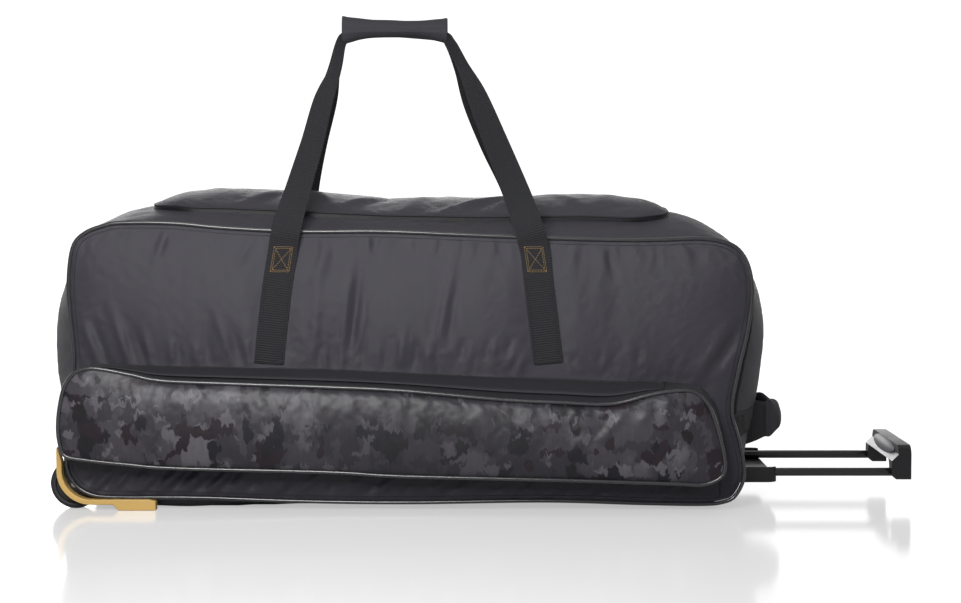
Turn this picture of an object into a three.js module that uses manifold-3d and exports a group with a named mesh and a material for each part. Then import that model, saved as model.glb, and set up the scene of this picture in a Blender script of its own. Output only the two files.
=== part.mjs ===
// A wheeled cricket kit bag: a long soft bag on two corner wheels, with a domed lid, a low front pocket,
// carry straps in a wrap grip and a telescopic pull handle. Millimetres, X along the bag towards the
// pull handle, Y from front to back, Z up. The origin is on the floor under the middle of the bag.
import * as THREE from "three";
import { mergeVertices } from "three/addons/utils/BufferGeometryUtils.js";
import Module from "manifold-3d";

const wasm = await Module();
wasm.setup();

// Cloth and clearances
const cloth = 2.5; // padded wall of the bag
const pocketCloth = 1.8;
const gap = 0.3; // between pieces that touch
const pipingRadius = 2.6;
const pipingSides = 5;
const pipingStand = 0.92; // how far outside its seam, and in front of it, as shares of its radius
const pipingForward = 0.55;

// Body
const panelLength = 870; // front and back panels, between their end seams
const panelHeight = 368;
const bodyDepth = 350;
const endBulge = 40; // how far the ends swell past the seams
const crownRise = 40; // how far the top swells above the seams
const panelSwell = 9;
const panelFlat = { along: 6, up: 4 }; // powers: the higher, the flatter the middle of the panel
const gussetRoundness = 1.3;

// Lid
const lidLength = 682;
const lidWidth = 250;
const lidCorner = 62;
const lidLift = 9; // height of the zip band round it
const lidRounding = 3;
const lidBandWidth = 5;
const mouthMargin = 14; // cloth that the band stands on, inside its outer edge

// Pocket
const pocketLength = 843;
const pocketHeight = 148;
const pocketDepth = 50;
const pocketFoot = 40; // lowest seam above the floor
const pocketShift = -20.5; // middle of the pocket along X
const pocketSwell = 9;
const pocketFlat = { along: 8, up: 4 };
const flapLeft = -412; // strip over the pocket's zip, from end to end
const flapRight = 330;
const flapBack = 0.2; // shares of the pocket's depth that it spans
const flapFront = 0.74;

// Carry straps and their grip
const strapWidth = 38;
const strapThickness = 2;
const strapSink = 3; // how deep the sewn stretch reaches before the panel cuts it to shape
const strapSewn = 0.53; // share of the strap's top height where it comes free
const strapSpread = 358; // between the sewn stretches
const strapRise = 258; // from the panels' top up to where the straps run level
const gripLength = 143;
const gripShift = -24;
const gripHeight = 37;
const gripThickness = 24;
const gripSides = 12;

// Wheels
const wheelRadius = 32.5;
const wheelWidth = 26;
const wheelX = -432.6;
const wheelInset = 8; // wheel face behind the front panel's plane
const axleRadius = 4;
const wheelDish = 3;
const wheelEdge = 4;
const wheelClearance = 4;
const housingWall = 2.6;

// Corner guards
const guardThickness = 8.5;
const guardRadius = 44;
const guardLeft = -453.5;
const guardLow = 7.5;
const guardTop = 86;
const guardDepth = 15.5;
const guardProud = 9; // in front of the front panel's plane
const footStart = -374;
const footLength = 50;

// Pull handle
const rodRadius = 5.5;
const rodHeight = 36.4;
const rodSpacing = 172;
const tubeRadius = 7.5;
const tubeStart = -380;
const tubeEnd = 424;
const rodStart = -120;
const gripFace = 638; // side of the pull grip that faces the bag
const pullGripDepth = 26;
const pullGripBottom = 27.5;
const pullGripTop = 72.4;
const pullGripLeg = 20;
const pullGripBar = 52; // underside of its bar
const pullGripCorner = 14;
const pullGripInnerCorner = 9;
const pullGripSlope = 9; // how far its top leans back from the face
const pullGripChamfer = 6;
const pullGripEdge = 2;
const socketDepth = 20;
const insertDepth = 8;
const insertWidth = 131;
const insertHeight = 21;
const insertDrop = 9; // its middle below the grip's top

// Tray at the foot of the right end
const trayEnd = 486;
const trayWidth = 196;
const trayWall = 3.5;
const trayBottom = 24;
const trayClearance = 0.6; // between the rods and its floor
const trayTop = 44.5;
const trayCorner = 12;

// Grab handle on the right end
const endHandleWidth = 36; // at its middle
const endHandleRoot = 68; // where it leaves the bag
const endHandleThickness = 5;
const endHandleHalfSpan = 78;
const endHandleReach = 58;
const endHandleRoundness = 2.2;
const endHandleStations = [-1.15, -0.98, -0.8, -0.55, -0.28, 0, 0.28, 0.55, 0.8, 0.98, 1.15];
const endHandleHeight = 102;

const halfLength = panelLength / 2;
const trayFloor = rodHeight - rodRadius - trayClearance;
const halfDepth = bodyDepth / 2;
const strapTop = panelHeight + strapRise;
const bodyWidest = halfLength + 2 * endBulge;

// Seam of the front panel, clockwise from the lower left corner. along and up are shares of the half
// length and the height. Half way to the back the gusset has moved by out and rise, shares of the end
// bulge and the crown's rise, and by down, its share of the way to the floor. run is the share of the
// half depth that this swelling takes.
const seamRows = [
  { along: -0.966, up: 0.076, out: -0.4, rise: 0, down: 0.15, run: 0.5 },
  { along: -0.993, up: 0.109, out: -0.45, rise: 0, down: 0, run: 0.8 },
  { along: -1.01, up: 0.169, out: -0.49, rise: 0, down: 0, run: 1 },
  { along: -1.002, up: 0.299, out: -0.72, rise: 0, down: 0, run: 1 },
  { along: -0.982, up: 0.508, out: -1.25, rise: 0, down: 0, run: 1 },
  { along: -0.992, up: 0.685, out: -1.04, rise: 0, down: 0, run: 1 },
  { along: -0.996, up: 0.807, out: -0.56, rise: 0.05, down: 0, run: 1 },
  { along: -0.983, up: 0.919, out: -0.38, rise: 0.08, down: 0, run: 1 },
  { along: -0.949, up: 0.965, out: -0.35, rise: 0.05, down: 0, run: 1 },
  { along: -0.897, up: 0.989, out: -0.3, rise: 0.09, down: 0, run: 1 },
  { along: -0.848, up: 0.999, out: -0.12, rise: 0.34, down: 0, run: 1 },
  { along: -0.699, up: 0.998, out: 0, rise: 0.75, down: 0, run: 1 },
  { along: -0.533, up: 0.981, out: 0, rise: 0.97, down: 0, run: 1 },
  { along: -0.31, up: 0.969, out: 0, rise: 0.97, down: 0, run: 1 },
  { along: -0.076, up: 0.969, out: 0, rise: 0.75, down: 0, run: 1 },
  { along: 0.216, up: 0.955, out: 0, rise: 0.89, down: 0, run: 1 },
  { along: 0.531, up: 0.942, out: 0, rise: 1.16, down: 0, run: 1 },
  { along: 0.715, up: 0.94, out: 0, rise: 1.03, down: 0, run: 1 },
  { along: 0.857, up: 0.945, out: 0.08, rise: 0.6, down: 0, run: 1 },
  { along: 0.94, up: 0.928, out: 0.22, rise: 0.18, down: 0, run: 1 },
  { along: 0.981, up: 0.888, out: 0.33, rise: 0.03, down: 0, run: 1 },
  { along: 1.002, up: 0.821, out: 0.38, rise: 0, down: 0, run: 1 },
  { along: 1.005, up: 0.739, out: 0.68, rise: 0, down: 0, run: 1 },
  { along: 0.991, up: 0.62, out: 1.04, rise: 0, down: 0, run: 1 },
  { along: 0.965, up: 0.484, out: 1.25, rise: 0, down: 0, run: 1 },
  { along: 0.948, up: 0.351, out: 1.25, rise: 0, down: 0, run: 1 },
  { along: 0.972, up: 0.236, out: 0.68, rise: 0, down: 0, run: 1 },
  { along: 0.987, up: 0.128, out: 0.27, rise: 0, down: 0, run: 0.8 },
  { along: 0.965, up: 0.059, out: 0.13, rise: 0, down: 0.15, run: 0.5 },
  { along: 0.933, up: 0.036, out: 0, rise: 0, down: 0.55, run: 0.35 },
  { along: 0.869, up: 0.028, out: 0, rise: 0, down: 1, run: 0.27 },
  { along: 0.69, up: 0.031, out: 0, rise: 0, down: 1, run: 0.35 },
  { along: 0.4, up: 0.04, out: 0, rise: 0, down: 1, run: 0.53 },
  { along: 0, up: 0.034, out: 0, rise: 0, down: 1, run: 0.43 },
  { along: -0.308, up: 0.038, out: 0, rise: 0, down: 1, run: 0.29 },
  { along: -0.6, up: 0.05, out: 0, rise: 0, down: 1, run: 0.17 },
  { along: -0.749, up: 0.052, out: 0, rise: 0, down: 1, run: 0.17 },
  { along: -0.851, up: 0.052, out: 0, rise: 0, down: 0.85, run: 0.2 },
  { along: -0.926, up: 0.057, out: 0, rise: 0, down: 0.45, run: 0.3 },
];
const seamSides = [
  { from: 0, to: 8, steps: 7 }, // left
  { from: 8, to: 20, steps: 17 }, // top
  { from: 20, to: 28, steps: 7 }, // right
  { from: 28, to: 39, steps: 17 }, // bottom
];
const gussetStations = [-1, -0.93, -0.82, -0.62, -0.33, 0, 0.33, 0.62, 0.82, 0.93, 1];

// Soft folds pressed into the front and back panels: place, half length and half width as shares of
// the panel's half length and height, lean in degrees from upright, depth in shares of the swell.
const panelFolds = [
  { along: -0.86, up: 0.72, lean: 20, long: 0.3, wide: 0.1, deep: -0.35 },
  { along: -0.48, up: 0.62, lean: -12, long: 0.34, wide: 0.08, deep: 0.3 },
  { along: -0.12, up: 0.72, lean: 8, long: 0.3, wide: 0.09, deep: -0.3 },
  { along: 0.22, up: 0.64, lean: -10, long: 0.34, wide: 0.09, deep: 0.35 },
  { along: 0.6, up: 0.66, lean: 14, long: 0.3, wide: 0.1, deep: -0.3 },
  { along: 0.86, up: 0.52, lean: -24, long: 0.3, wide: 0.08, deep: 0.4 },
];

// Edges of the pocket, clockwise from its lower left corner: its outer edge and its seam on the front
// panel, as shares of the pocket's half length and its height.
const pocketRows = [
  { along: -0.981, up: 0.25, seamAlong: -0.95, seamUp: 0.23 },
  { along: -0.998, up: 0.372, seamAlong: -0.957, seamUp: 0.372 },
  { along: -1.001, up: 0.531, seamAlong: -0.96, seamUp: 0.53 },
  { along: -0.993, up: 0.709, seamAlong: -0.955, seamUp: 0.716 },
  { along: -0.979, up: 0.851, seamAlong: -0.95, seamUp: 0.865 },
  { along: -0.953, up: 0.953, seamAlong: -0.938, seamUp: 0.96 },
  { along: -0.912, up: 1, seamAlong: -0.91, seamUp: 1 },
  { along: -0.865, up: 0.993, seamAlong: -0.865, seamUp: 1.005 },
  { along: -0.781, up: 0.947, seamAlong: -0.781, seamUp: 1.005 },
  { along: -0.691, up: 0.896, seamAlong: -0.691, seamUp: 1.005 },
  { along: -0.497, up: 0.871, seamAlong: -0.497, seamUp: 1 },
  { along: -0.188, up: 0.84, seamAlong: -0.188, seamUp: 0.983 },
  { along: 0.027, up: 0.811, seamAlong: 0.03, seamUp: 0.953 },
  { along: 0.325, up: 0.735, seamAlong: 0.328, seamUp: 0.93 },
  { along: 0.504, up: 0.709, seamAlong: 0.508, seamUp: 0.915 },
  { along: 0.656, up: 0.696, seamAlong: 0.66, seamUp: 0.892 },
  { along: 0.772, up: 0.773, seamAlong: 0.785, seamUp: 0.874 },
  { along: 0.838, up: 0.805, seamAlong: 0.856, seamUp: 0.858 },
  { along: 0.903, up: 0.807, seamAlong: 0.934, seamUp: 0.821 },
  { along: 0.941, up: 0.723, seamAlong: 0.967, seamUp: 0.736 },
  { along: 0.964, up: 0.608, seamAlong: 0.991, seamUp: 0.622 },
  { along: 0.987, up: 0.395, seamAlong: 1.012, seamUp: 0.372 },
  { along: 1.002, up: 0.176, seamAlong: 1.019, seamUp: 0.155 },
  { along: 0.988, up: 0.061, seamAlong: 1.005, seamUp: 0.041 },
  { along: 0.934, up: 0, seamAlong: 0.95, seamUp: 0 },
  { along: 0.855, up: 0.007, seamAlong: 0.86, seamUp: 0.01 },
  { along: 0.504, up: 0.039, seamAlong: 0.504, seamUp: 0.045 },
  { along: 0.027, up: 0.073, seamAlong: 0.03, seamUp: 0.08 },
  { along: -0.188, up: 0.107, seamAlong: -0.188, seamUp: 0.107 },
  { along: -0.647, up: 0.141, seamAlong: -0.647, seamUp: 0.141 },
  { along: -0.796, up: 0.174, seamAlong: -0.796, seamUp: 0.174 },
  { along: -0.924, up: 0.213, seamAlong: -0.918, seamUp: 0.2 },
];
const pocketSides = [
  { from: 0, to: 5, steps: 5 },
  { from: 5, to: 18, steps: 19 },
  { from: 18, to: 23, steps: 5 },
  { from: 23, to: 32, steps: 19 },
];

// Course of a carry strap from the pocket's seam up to the grip: up is a share of the strap's top
// height, left and right are the shares of the way in towards the grip on the front strap, rearLeft and
// rearRight the same on the rear one, back is the share of the way from the panel to the middle of the
// bag, twist is in degrees, and narrow and fold are the webbing's width and thickness as shares.
const strapKeys = ["up", "left", "right", "rearLeft", "rearRight", "back", "twist", "narrow", "fold"];
const strapRows = [
  [0.303, 0, 0, 0, 0, 0, 0, 1, 1],
  [0.39, 0.07, 0.05, 0.03, 0.03, 0, 0, 1, 1],
  [0.475, 0.15, 0.1, 0.06, 0.07, 0, 0, 1, 1],
  [0.53, 0.22, 0.13, 0.1, 0.11, -0.014, 2, 1, 1],
  [0.585, 0.29, 0.2, 0.15, 0.18, -0.042, 8, 1, 1],
  [0.666, 0.43, 0.335, 0.28, 0.33, 0.2, 26, 1, 1],
  [0.757, 0.6, 0.51, 0.46, 0.55, 0.44, 34, 1, 1],
  [0.85, 0.745, 0.69, 0.69, 0.75, 0.68, 36, 0.88, 1.1],
  [0.92, 0.9, 0.84, 0.83, 0.875, 0.86, 30, 0.6, 1.6],
  [0.972, 0.985, 0.97, 0.975, 0.975, 0.965, 12, 0.38, 2.6],
  [0.988, 1.1, 1.07, 1.1, 1.07, 0.982, 0, 0.38, 2.5],
  [0.998, 1.5, 1.5, 1.5, 1.5, 0.982, 0, 0.42, 2.2],
].map((row) => Object.fromEntries(row.map((value, i) => [strapKeys[i], value])));

// Sections of the wrap grip, along its half length, as shares of its height and thickness.
const gripRows = [
  { along: -1, high: 1, deep: 0.9 },
  { along: -0.84, high: 0.92, deep: 1 },
  { along: -0.45, high: 0.72, deep: 0.96 },
  { along: 0, high: 0.65, deep: 0.92 },
  { along: 0.45, high: 0.7, deep: 0.96 },
  { along: 0.84, high: 0.86, deep: 1 },
  { along: 1, high: 0.95, deep: 0.9 },
];

const finishes = {
  bodyCloth: { color: 0x403e46, roughness: 0.62, metalness: 0 },
  trimCloth: { color: 0x242327, roughness: 0.7, metalness: 0 },
  patternCloth: { color: 0x39373d, roughness: 0.5, metalness: 0 },
  webbing: { color: 0x262528, roughness: 0.75, metalness: 0 },
  piping: { color: 0x2a292d, roughness: 0.45, metalness: 0 },
  yellowPlastic: { color: 0xe8b84a, roughness: 0.45, metalness: 0 },
  blackPlastic: { color: 0x1b1b1e, roughness: 0.4, metalness: 0 },
  greyRubber: { color: 0x77777c, roughness: 0.55, metalness: 0 },
  wheelRubber: { color: 0x1d1d20, roughness: 0.6, metalness: 0 },
  blackMetal: { color: 0x232327, roughness: 0.22, metalness: 0.6 },
  steel: { color: 0x8d8d90, roughness: 0.35, metalness: 0.9 },
};

function clamp(value, low, high) {
  return Math.min(high, Math.max(low, value));
}

// The row of a table at a fractional row number, on a smooth curve through its rows.
function rowAt(rows, place, closed = false) {
  const first = Math.floor(place);
  const share = place - first;
  const index = (i) => (closed ? (i + rows.length) % rows.length : clamp(i, 0, rows.length - 1));
  const near = [-1, 0, 1, 2].map((step) => rows[index(first + step)]);
  const row = {};
  for (const key of Object.keys(rows[0])) {
    const [a, b, c, d] = near.map((entry) => entry[key]);
    const bend = 2 * a - 5 * b + 4 * c - d;
    const twist = 3 * (b - c) + d - a;
    row[key] = b + 0.5 * share * (c - a + share * (bend + share * twist));
  }
  return row;
}

// The row of a table where one of its columns has a given value, in straight stretches.
function rowWhere(rows, key, value) {
  let first = 0;
  while (first < rows.length - 2 && rows[first + 1][key] < value) first++;
  const [a, b] = [rows[first], rows[first + 1]];
  const share = clamp((value - a[key]) / (b[key] - a[key]), 0, 1);
  return Object.fromEntries(Object.keys(a).map((name) => [name, a[name] + (b[name] - a[name]) * share]));
}

// Rows sampled side by side round a closed table, each side in its own number of steps.
function sampleSides(rows, sides) {
  return sides.flatMap(({ from, to, steps }) =>
    Array.from({ length: steps }, (_, step) => rowAt(rows, from + ((to - from) * step) / steps, true)),
  );
}

// A closed outline of points in the X-Z plane moved inwards; the outline runs clockwise from the front.
function insetOutline(outline, distance) {
  return outline.map((point, i) => {
    const before = outline[(i + outline.length - 1) % outline.length];
    const after = outline[(i + 1) % outline.length];
    const along = after.clone().sub(before).normalize();
    return new THREE.Vector2(point.x + along.y * distance, point.y - along.x * distance);
  });
}

// A closed body from points and triangles, turned so that its faces point out.
function bodyGeometry(points, faces) {
  const scratch = new THREE.Vector3();
  const volumeOf = ([a, b, c]) => points[a].dot(scratch.crossVectors(points[b], points[c]));
  const volume = faces.reduce((sum, face) => sum + volumeOf(face), 0);
  const turned = volume < 0 ? faces.map(([a, b, c]) => [a, c, b]) : faces;
  const geometry = new THREE.BufferGeometry();
  const numbers = points.flatMap((point) => point.toArray());
  geometry.setAttribute("position", new THREE.Float32BufferAttribute(numbers, 3));
  geometry.setIndex(turned.flat());
  return geometry;
}

// A skin through rings of as many points each, closed by flat caps or joined end to end; turned lists the
// sides whose diagonals run the other way, so that both faces of a twisted strip bend alike.
function loft(rings, loop = false, turned = []) {
  const size = rings[0].length;
  const faces = [];
  rings.slice(0, loop ? rings.length : -1).forEach((_, i) => {
    const [here, next] = [i * size, ((i + 1) % rings.length) * size];
    for (let j = 0; j < size; j++) {
      const k = (j + 1) % size;
      if (turned.includes(j)) faces.push([here + j, here + k, next + j], [here + k, next + k, next + j]);
      else faces.push([here + j, here + k, next + k], [here + j, next + k, next + j]);
    }
  });
  const last = (rings.length - 1) * size;
  for (let j = 1; j < size - 1 && !loop; j++) {
    faces.push([0, j + 1, j], [last, last + j, last + j + 1]);
  }
  return bodyGeometry(rings.flat(), faces);
}

// The triangles of a grid of points, from columns that run upwards and follow each other to the right.
function gridFaces(columns, start, turned) {
  const height = columns[0].length;
  const faces = [];
  for (let a = 0; a < columns.length - 1; a++) {
    for (let b = 0; b < height - 1; b++) {
      const corner = start + a * height + b;
      const [right, across, above] = [corner + height, corner + height + 1, corner + 1];
      if (turned) faces.push([corner, across, right], [corner, above, across]);
      else faces.push([corner, right, across], [corner, across, above]);
    }
  }
  return faces;
}

// A sheet with thickness, from the grids of its outer and inner sides.
function sheet(outer, inner) {
  const [width, height] = [outer.length, outer[0].length];
  const count = width * height;
  const rim = [];
  for (let a = 0; a < width - 1; a++) rim.push(a * height);
  for (let b = 0; b < height - 1; b++) rim.push((width - 1) * height + b);
  for (let a = width - 1; a > 0; a--) rim.push(a * height + height - 1);
  for (let b = height - 1; b > 0; b--) rim.push(b);
  const faces = [...gridFaces(outer, 0, false), ...gridFaces(inner, count, true)];
  rim.forEach((near, i) => {
    const far = rim[(i + 1) % rim.length];
    faces.push([near, near + count, far + count], [near, far + count, far]);
  });
  return bodyGeometry([...outer.flat(), ...inner.flat()], faces);
}

// A grid of points that fills a closed outline, given the steps along its left side and its top.
function fillOutline(outline, upSteps, acrossSteps) {
  const at = (i) => outline[i % outline.length];
  const left = (b) => at(b);
  const top = (a) => at(upSteps + a);
  const right = (b) => at(2 * upSteps + acrossSteps - b);
  const bottom = (a) => at(2 * (upSteps + acrossSteps) - a);
  return Array.from({ length: acrossSteps + 1 }, (_, a) =>
    Array.from({ length: upSteps + 1 }, (_, b) => {
      const [u, w] = [a / acrossSteps, b / upSteps];
      const blend = (key) =>
        (1 - w) * bottom(a)[key] + w * top(a)[key] + (1 - u) * left(b)[key] + u * right(b)[key] -
        (1 - u) * ((1 - w) * left(0)[key] + w * left(upSteps)[key]) -
        u * ((1 - w) * right(0)[key] + w * right(upSteps)[key]);
      return { x: blend("x"), z: blend("y"), u, w };
    }),
  );
}

function solidOf(geometry) {
  const bare = geometry.index ? geometry.toNonIndexed() : geometry.clone();
  bare.deleteAttribute("normal");
  bare.deleteAttribute("uv");
  const merged = mergeVertices(bare, 1e-3);
  const vertProperties = merged.attributes.position.array;
  const triVerts = new Uint32Array(merged.index.array);
  return new wasm.Manifold(new wasm.Mesh({ numProp: 3, vertProperties, triVerts }));
}

function geometryOf(solid) {
  const { vertProperties, triVerts } = solid.getMesh();
  const geometry = new THREE.BufferGeometry();
  geometry.setAttribute("position", new THREE.Float32BufferAttribute(vertProperties, 3));
  geometry.setIndex(Array.from(triVerts));
  geometry.computeVertexNormals();
  return geometry;
}

// The same piece on the other side of the bag.
function mirrored(geometry) {
  const copy = (geometry.index ? geometry.toNonIndexed() : geometry.clone()).scale(1, -1, 1);
  const position = copy.attributes.position;
  for (let i = 0; i < position.count; i += 3) {
    const [b, c] = [i + 1, i + 2].map((n) => new THREE.Vector3().fromBufferAttribute(position, n));
    position.setXYZ(i + 1, c.x, c.y, c.z);
    position.setXYZ(i + 2, b.x, b.y, b.z);
  }
  copy.computeVertexNormals();
  return copy;
}

// A shape drawn in the X-Z plane, extruded from the front face at y backwards by depth.
function extrudeBack(shape, y, depth) {
  const geometry = new THREE.ExtrudeGeometry(shape, { depth, bevelEnabled: false, curveSegments: 7 });
  return geometry.rotateX(Math.PI / 2).translate(0, y + depth, 0);
}

// A shape drawn in the X-Y plane, extruded upwards from z.
function extrudeUp(shape, z, depth) {
  const options = { depth, bevelEnabled: false, curveSegments: 6 };
  return new THREE.ExtrudeGeometry(shape, options).translate(0, 0, z);
}

function cylinderAlongX(radius, from, to, y, z) {
  return new THREE.CylinderGeometry(radius, radius, to - from, 14)
    .rotateZ(Math.PI / 2)
    .translate((from + to) / 2, y, z);
}

function cylinderAlongY(radius, from, to, x, z, sides) {
  return new THREE.CylinderGeometry(radius, radius, to - from, sides).translate(x, (from + to) / 2, z);
}

function roundedRectangle(width, height, radius) {
  const shape = new THREE.Shape();
  const [x, y] = [width / 2 - radius, height / 2 - radius];
  shape.absarc(x, y, radius, 0, Math.PI / 2);
  shape.absarc(-x, y, radius, Math.PI / 2, Math.PI);
  shape.absarc(-x, -y, radius, Math.PI, 1.5 * Math.PI);
  shape.absarc(x, -y, radius, 1.5 * Math.PI, 2 * Math.PI);
  return shape;
}

// Body: columns of the gusset at an inset from the outer face; a negative inset grows the body.
const seamColumns = sampleSides(seamRows, seamSides);

function gussetColumns(inset) {
  const seams = seamColumns.map(({ along, up }) => new THREE.Vector2(along * halfLength, up * panelHeight));
  const middles = seamColumns.map(({ out, rise, down }, i) => {
    const raised = seams[i].y + rise * crownRise;
    return new THREE.Vector2(seams[i].x + out * endBulge, raised * (1 - clamp(down, 0, 1)));
  });
  const seamInset = insetOutline(seams, inset);
  const middleInset = insetOutline(middles, inset);
  return seamColumns.map(({ run }, i) => ({
    seam: seamInset[i],
    middle: middleInset[i],
    run: clamp(run, 0.1, 1),
  }));
}

// How far the gusset has swollen at a share of the half depth: 0 at the seam, 1 in the middle.
function swelling(station, run) {
  const inwards = clamp((1 - Math.abs(station)) / run, 0, 1);
  return 1 - (1 - inwards) ** (1 + gussetRoundness * run * run);
}

function foldDepth(x, z) {
  return panelFolds.reduce((sum, { along, up, lean, long, wide, deep }) => {
    const angle = THREE.MathUtils.degToRad(lean);
    const [dx, dz] = [x - along * halfLength, z - up * panelHeight];
    const lengthwise = (dz * Math.cos(angle) + dx * Math.sin(angle)) / (long * panelHeight);
    const across = (dx * Math.cos(angle) - dz * Math.sin(angle)) / (wide * halfLength);
    return sum + deep * Math.exp(-(lengthwise ** 2 + across ** 2));
  }, 0);
}

// How far the front panel stands in front of its seam's plane; u and w run from 0 to 1 across it.
function panelBulge(x, z, u, w) {
  const inside = (1 - (2 * u - 1) ** panelFlat.along) * (1 - (2 * w - 1) ** panelFlat.up);
  return panelSwell * inside * (1 + foldDepth(x, z));
}

function bodyForm(inset) {
  const columns = gussetColumns(inset);
  const depth = halfDepth - inset;
  const rings = gussetStations.map((station) =>
    columns.map(({ seam, middle, run }) => {
      const flat = seam.clone().lerp(middle, swelling(station, run));
      return new THREE.Vector3(flat.x, station * depth, Math.max(flat.y, Math.min(inset, 0)));
    }),
  );
  const [upSteps, acrossSteps] = [seamSides[0].steps, seamSides[1].steps];
  const grid = fillOutline(columns.map(({ seam }) => seam), upSteps, acrossSteps);
  const panel = (side) =>
    grid.map((column) =>
      column.map(({ x, z, u, w }) => new THREE.Vector3(x, side * (depth + panelBulge(x, z, u, w)), z)),
    );
  const [front, back] = [panel(-1), panel(1)];
  const size = columns.length;
  const faces = [];
  for (let i = 0; i < rings.length - 1; i++) {
    for (let j = 0; j < size; j++) {
      const [a, b] = [i * size + j, i * size + ((j + 1) % size)];
      const [c, d] = [b + size, a + size];
      if (i < (rings.length - 1) / 2) faces.push([a, b, c], [a, c, d]);
      else faces.push([a, b, d], [b, c, d]);
    }
  }
  const frontStart = rings.length * size;
  const backStart = frontStart + front.flat().length;
  faces.push(...gridFaces(front, frontStart, false), ...gridFaces(back, backStart, true));
  return solidOf(bodyGeometry([...rings.flat(), ...front.flat(), ...back.flat()], faces));
}

const bodySolid = bodyForm(0);
const bodyKeepout = bodyForm(-gap);

const bodyFace = new THREE.Mesh(geometryOf(bodyKeepout));

// Where the body's front face lies at a point of its plane; above the seam it is the seam's plane.
function panelFront(x, z) {
  const ray = new THREE.Raycaster(new THREE.Vector3(x, -bodyDepth, z), new THREE.Vector3(0, 1, 0));
  const [hit] = ray.intersectObject(bodyFace);
  return Math.min(hit ? hit.point.y : 0, -halfDepth);
}

// Height of the body's top over a point of the plan.
function topHeight(x, y) {
  const { up, rise } = rowWhere(seamRows.slice(8, 21), "along", x / halfLength);
  return up * panelHeight + rise * crownRise * swelling(y / halfDepth, 1);
}

// Piping: a round edge along one seam of the body, just clear of it.
function pipingAlong(outline, y, forward, radius) {
  const centres = insetOutline(outline, -(pipingRadius + gap) * pipingStand);
  const rings = centres.map((centre, i) => {
    const away = centre.clone().sub(outline[i]).normalize();
    return Array.from({ length: pipingSides }, (_, corner) => {
      const angle = (corner / pipingSides) * 2 * Math.PI;
      const [side, depth] = [radius * Math.cos(angle), radius * Math.sin(angle)];
      return new THREE.Vector3(centre.x + away.x * side, y - forward + depth, centre.y + away.y * side);
    });
  });
  return loft(rings, true);
}

const bodySeam = gussetColumns(0).map(({ seam }) => seam);
const seamForward = (pipingRadius + gap) * pipingForward;
const frontPiping = pipingAlong(bodySeam, -halfDepth, seamForward, pipingRadius);
const frontPipingKeepout = solidOf(pipingAlong(bodySeam, -halfDepth, seamForward, pipingRadius + gap));

// Wheel corner at the front; the rear one is its mirror image.
const wheelFront = -halfDepth + wheelInset;
const wheelBack = wheelFront + wheelWidth;
const guardFront = -halfDepth - guardProud;
const guardArcX = guardLeft + guardRadius;
const guardArcZ = guardLow + guardRadius;
const wellFront = -halfDepth + cloth + gap;
const wellBack = wheelBack + wheelClearance + housingWall;
const wellRight = wheelX + wheelRadius + wheelClearance + housingWall;
const wellTop = wheelRadius * 2 + wheelClearance + housingWall;

function wheelWell() {
  const radius = wheelRadius + wheelClearance;
  return cylinderAlongY(
    radius, wellFront + housingWall, wellBack - housingWall, wheelX, wheelRadius, 28,
  );
}

function guardGeometry() {
  const inner = guardRadius - guardThickness;
  const shape = new THREE.Shape();
  shape.moveTo(guardLeft, guardTop);
  shape.absarc(guardArcX, guardArcZ, guardRadius, Math.PI, 1.5 * Math.PI);
  shape.lineTo(footStart - guardLow, guardLow);
  shape.lineTo(footStart, 0);
  shape.lineTo(footStart + footLength, 0);
  shape.lineTo(footStart + footLength, guardLow + guardThickness * 0.7);
  shape.lineTo(footStart + footLength * 0.8, guardLow + guardThickness);
  shape.absarc(guardArcX, guardArcZ, inner, 1.5 * Math.PI, Math.PI, true);
  shape.lineTo(guardLeft + guardThickness, guardTop - 2 * guardThickness);
  const strip = solidOf(extrudeBack(shape, guardFront, guardDepth));
  return geometryOf(strip.subtract(bodyKeepout).subtract(frontPipingKeepout));
}

function housingShape(growth) {
  const radius = guardRadius - 1 + growth;
  const shape = new THREE.Shape();
  shape.moveTo(guardArcX - radius, wellTop + growth);
  shape.absarc(guardArcX, guardArcZ, radius, Math.PI, 1.5 * Math.PI);
  shape.lineTo(wellRight + growth, guardArcZ - radius);
  shape.lineTo(wellRight + growth, wellTop + growth);
  return shape;
}

function housingBlock(growth) {
  const depth = wellBack - wellFront + 2 * growth;
  return solidOf(extrudeBack(housingShape(growth), wellFront - growth, depth));
}

function housingGeometry() {
  const bore = solidOf(
    cylinderAlongY(axleRadius + gap, wellFront - 1, wellBack + 1, wheelX, wheelRadius, 16),
  );
  const guard = solidOf(extrudeBack(housingShape(20), guardFront, guardDepth + gap));
  return geometryOf(housingBlock(0).subtract(solidOf(wheelWell())).subtract(bore).subtract(guard));
}

function wheelGeometry() {
  const half = wheelWidth / 2;
  const bore = axleRadius + gap;
  const profile = [
    [bore, -half],
    [wheelRadius * 0.42, -half],
    [wheelRadius * 0.5, -half + wheelDish],
    [wheelRadius * 0.74, -half + wheelDish],
    [wheelRadius * 0.8, -half],
    [wheelRadius - wheelEdge, -half],
    [wheelRadius, -half + wheelEdge],
    [wheelRadius, half - wheelEdge],
    [wheelRadius - wheelEdge, half],
    [bore, half],
    [bore, -half],
  ];
  return new THREE.LatheGeometry(profile.map(([r, y]) => new THREE.Vector2(r, y)), 20);
}

const axleGeometry = cylinderAlongY(
  axleRadius, wellFront + gap, wellBack, wheelX, wheelRadius, 16,
);

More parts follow.
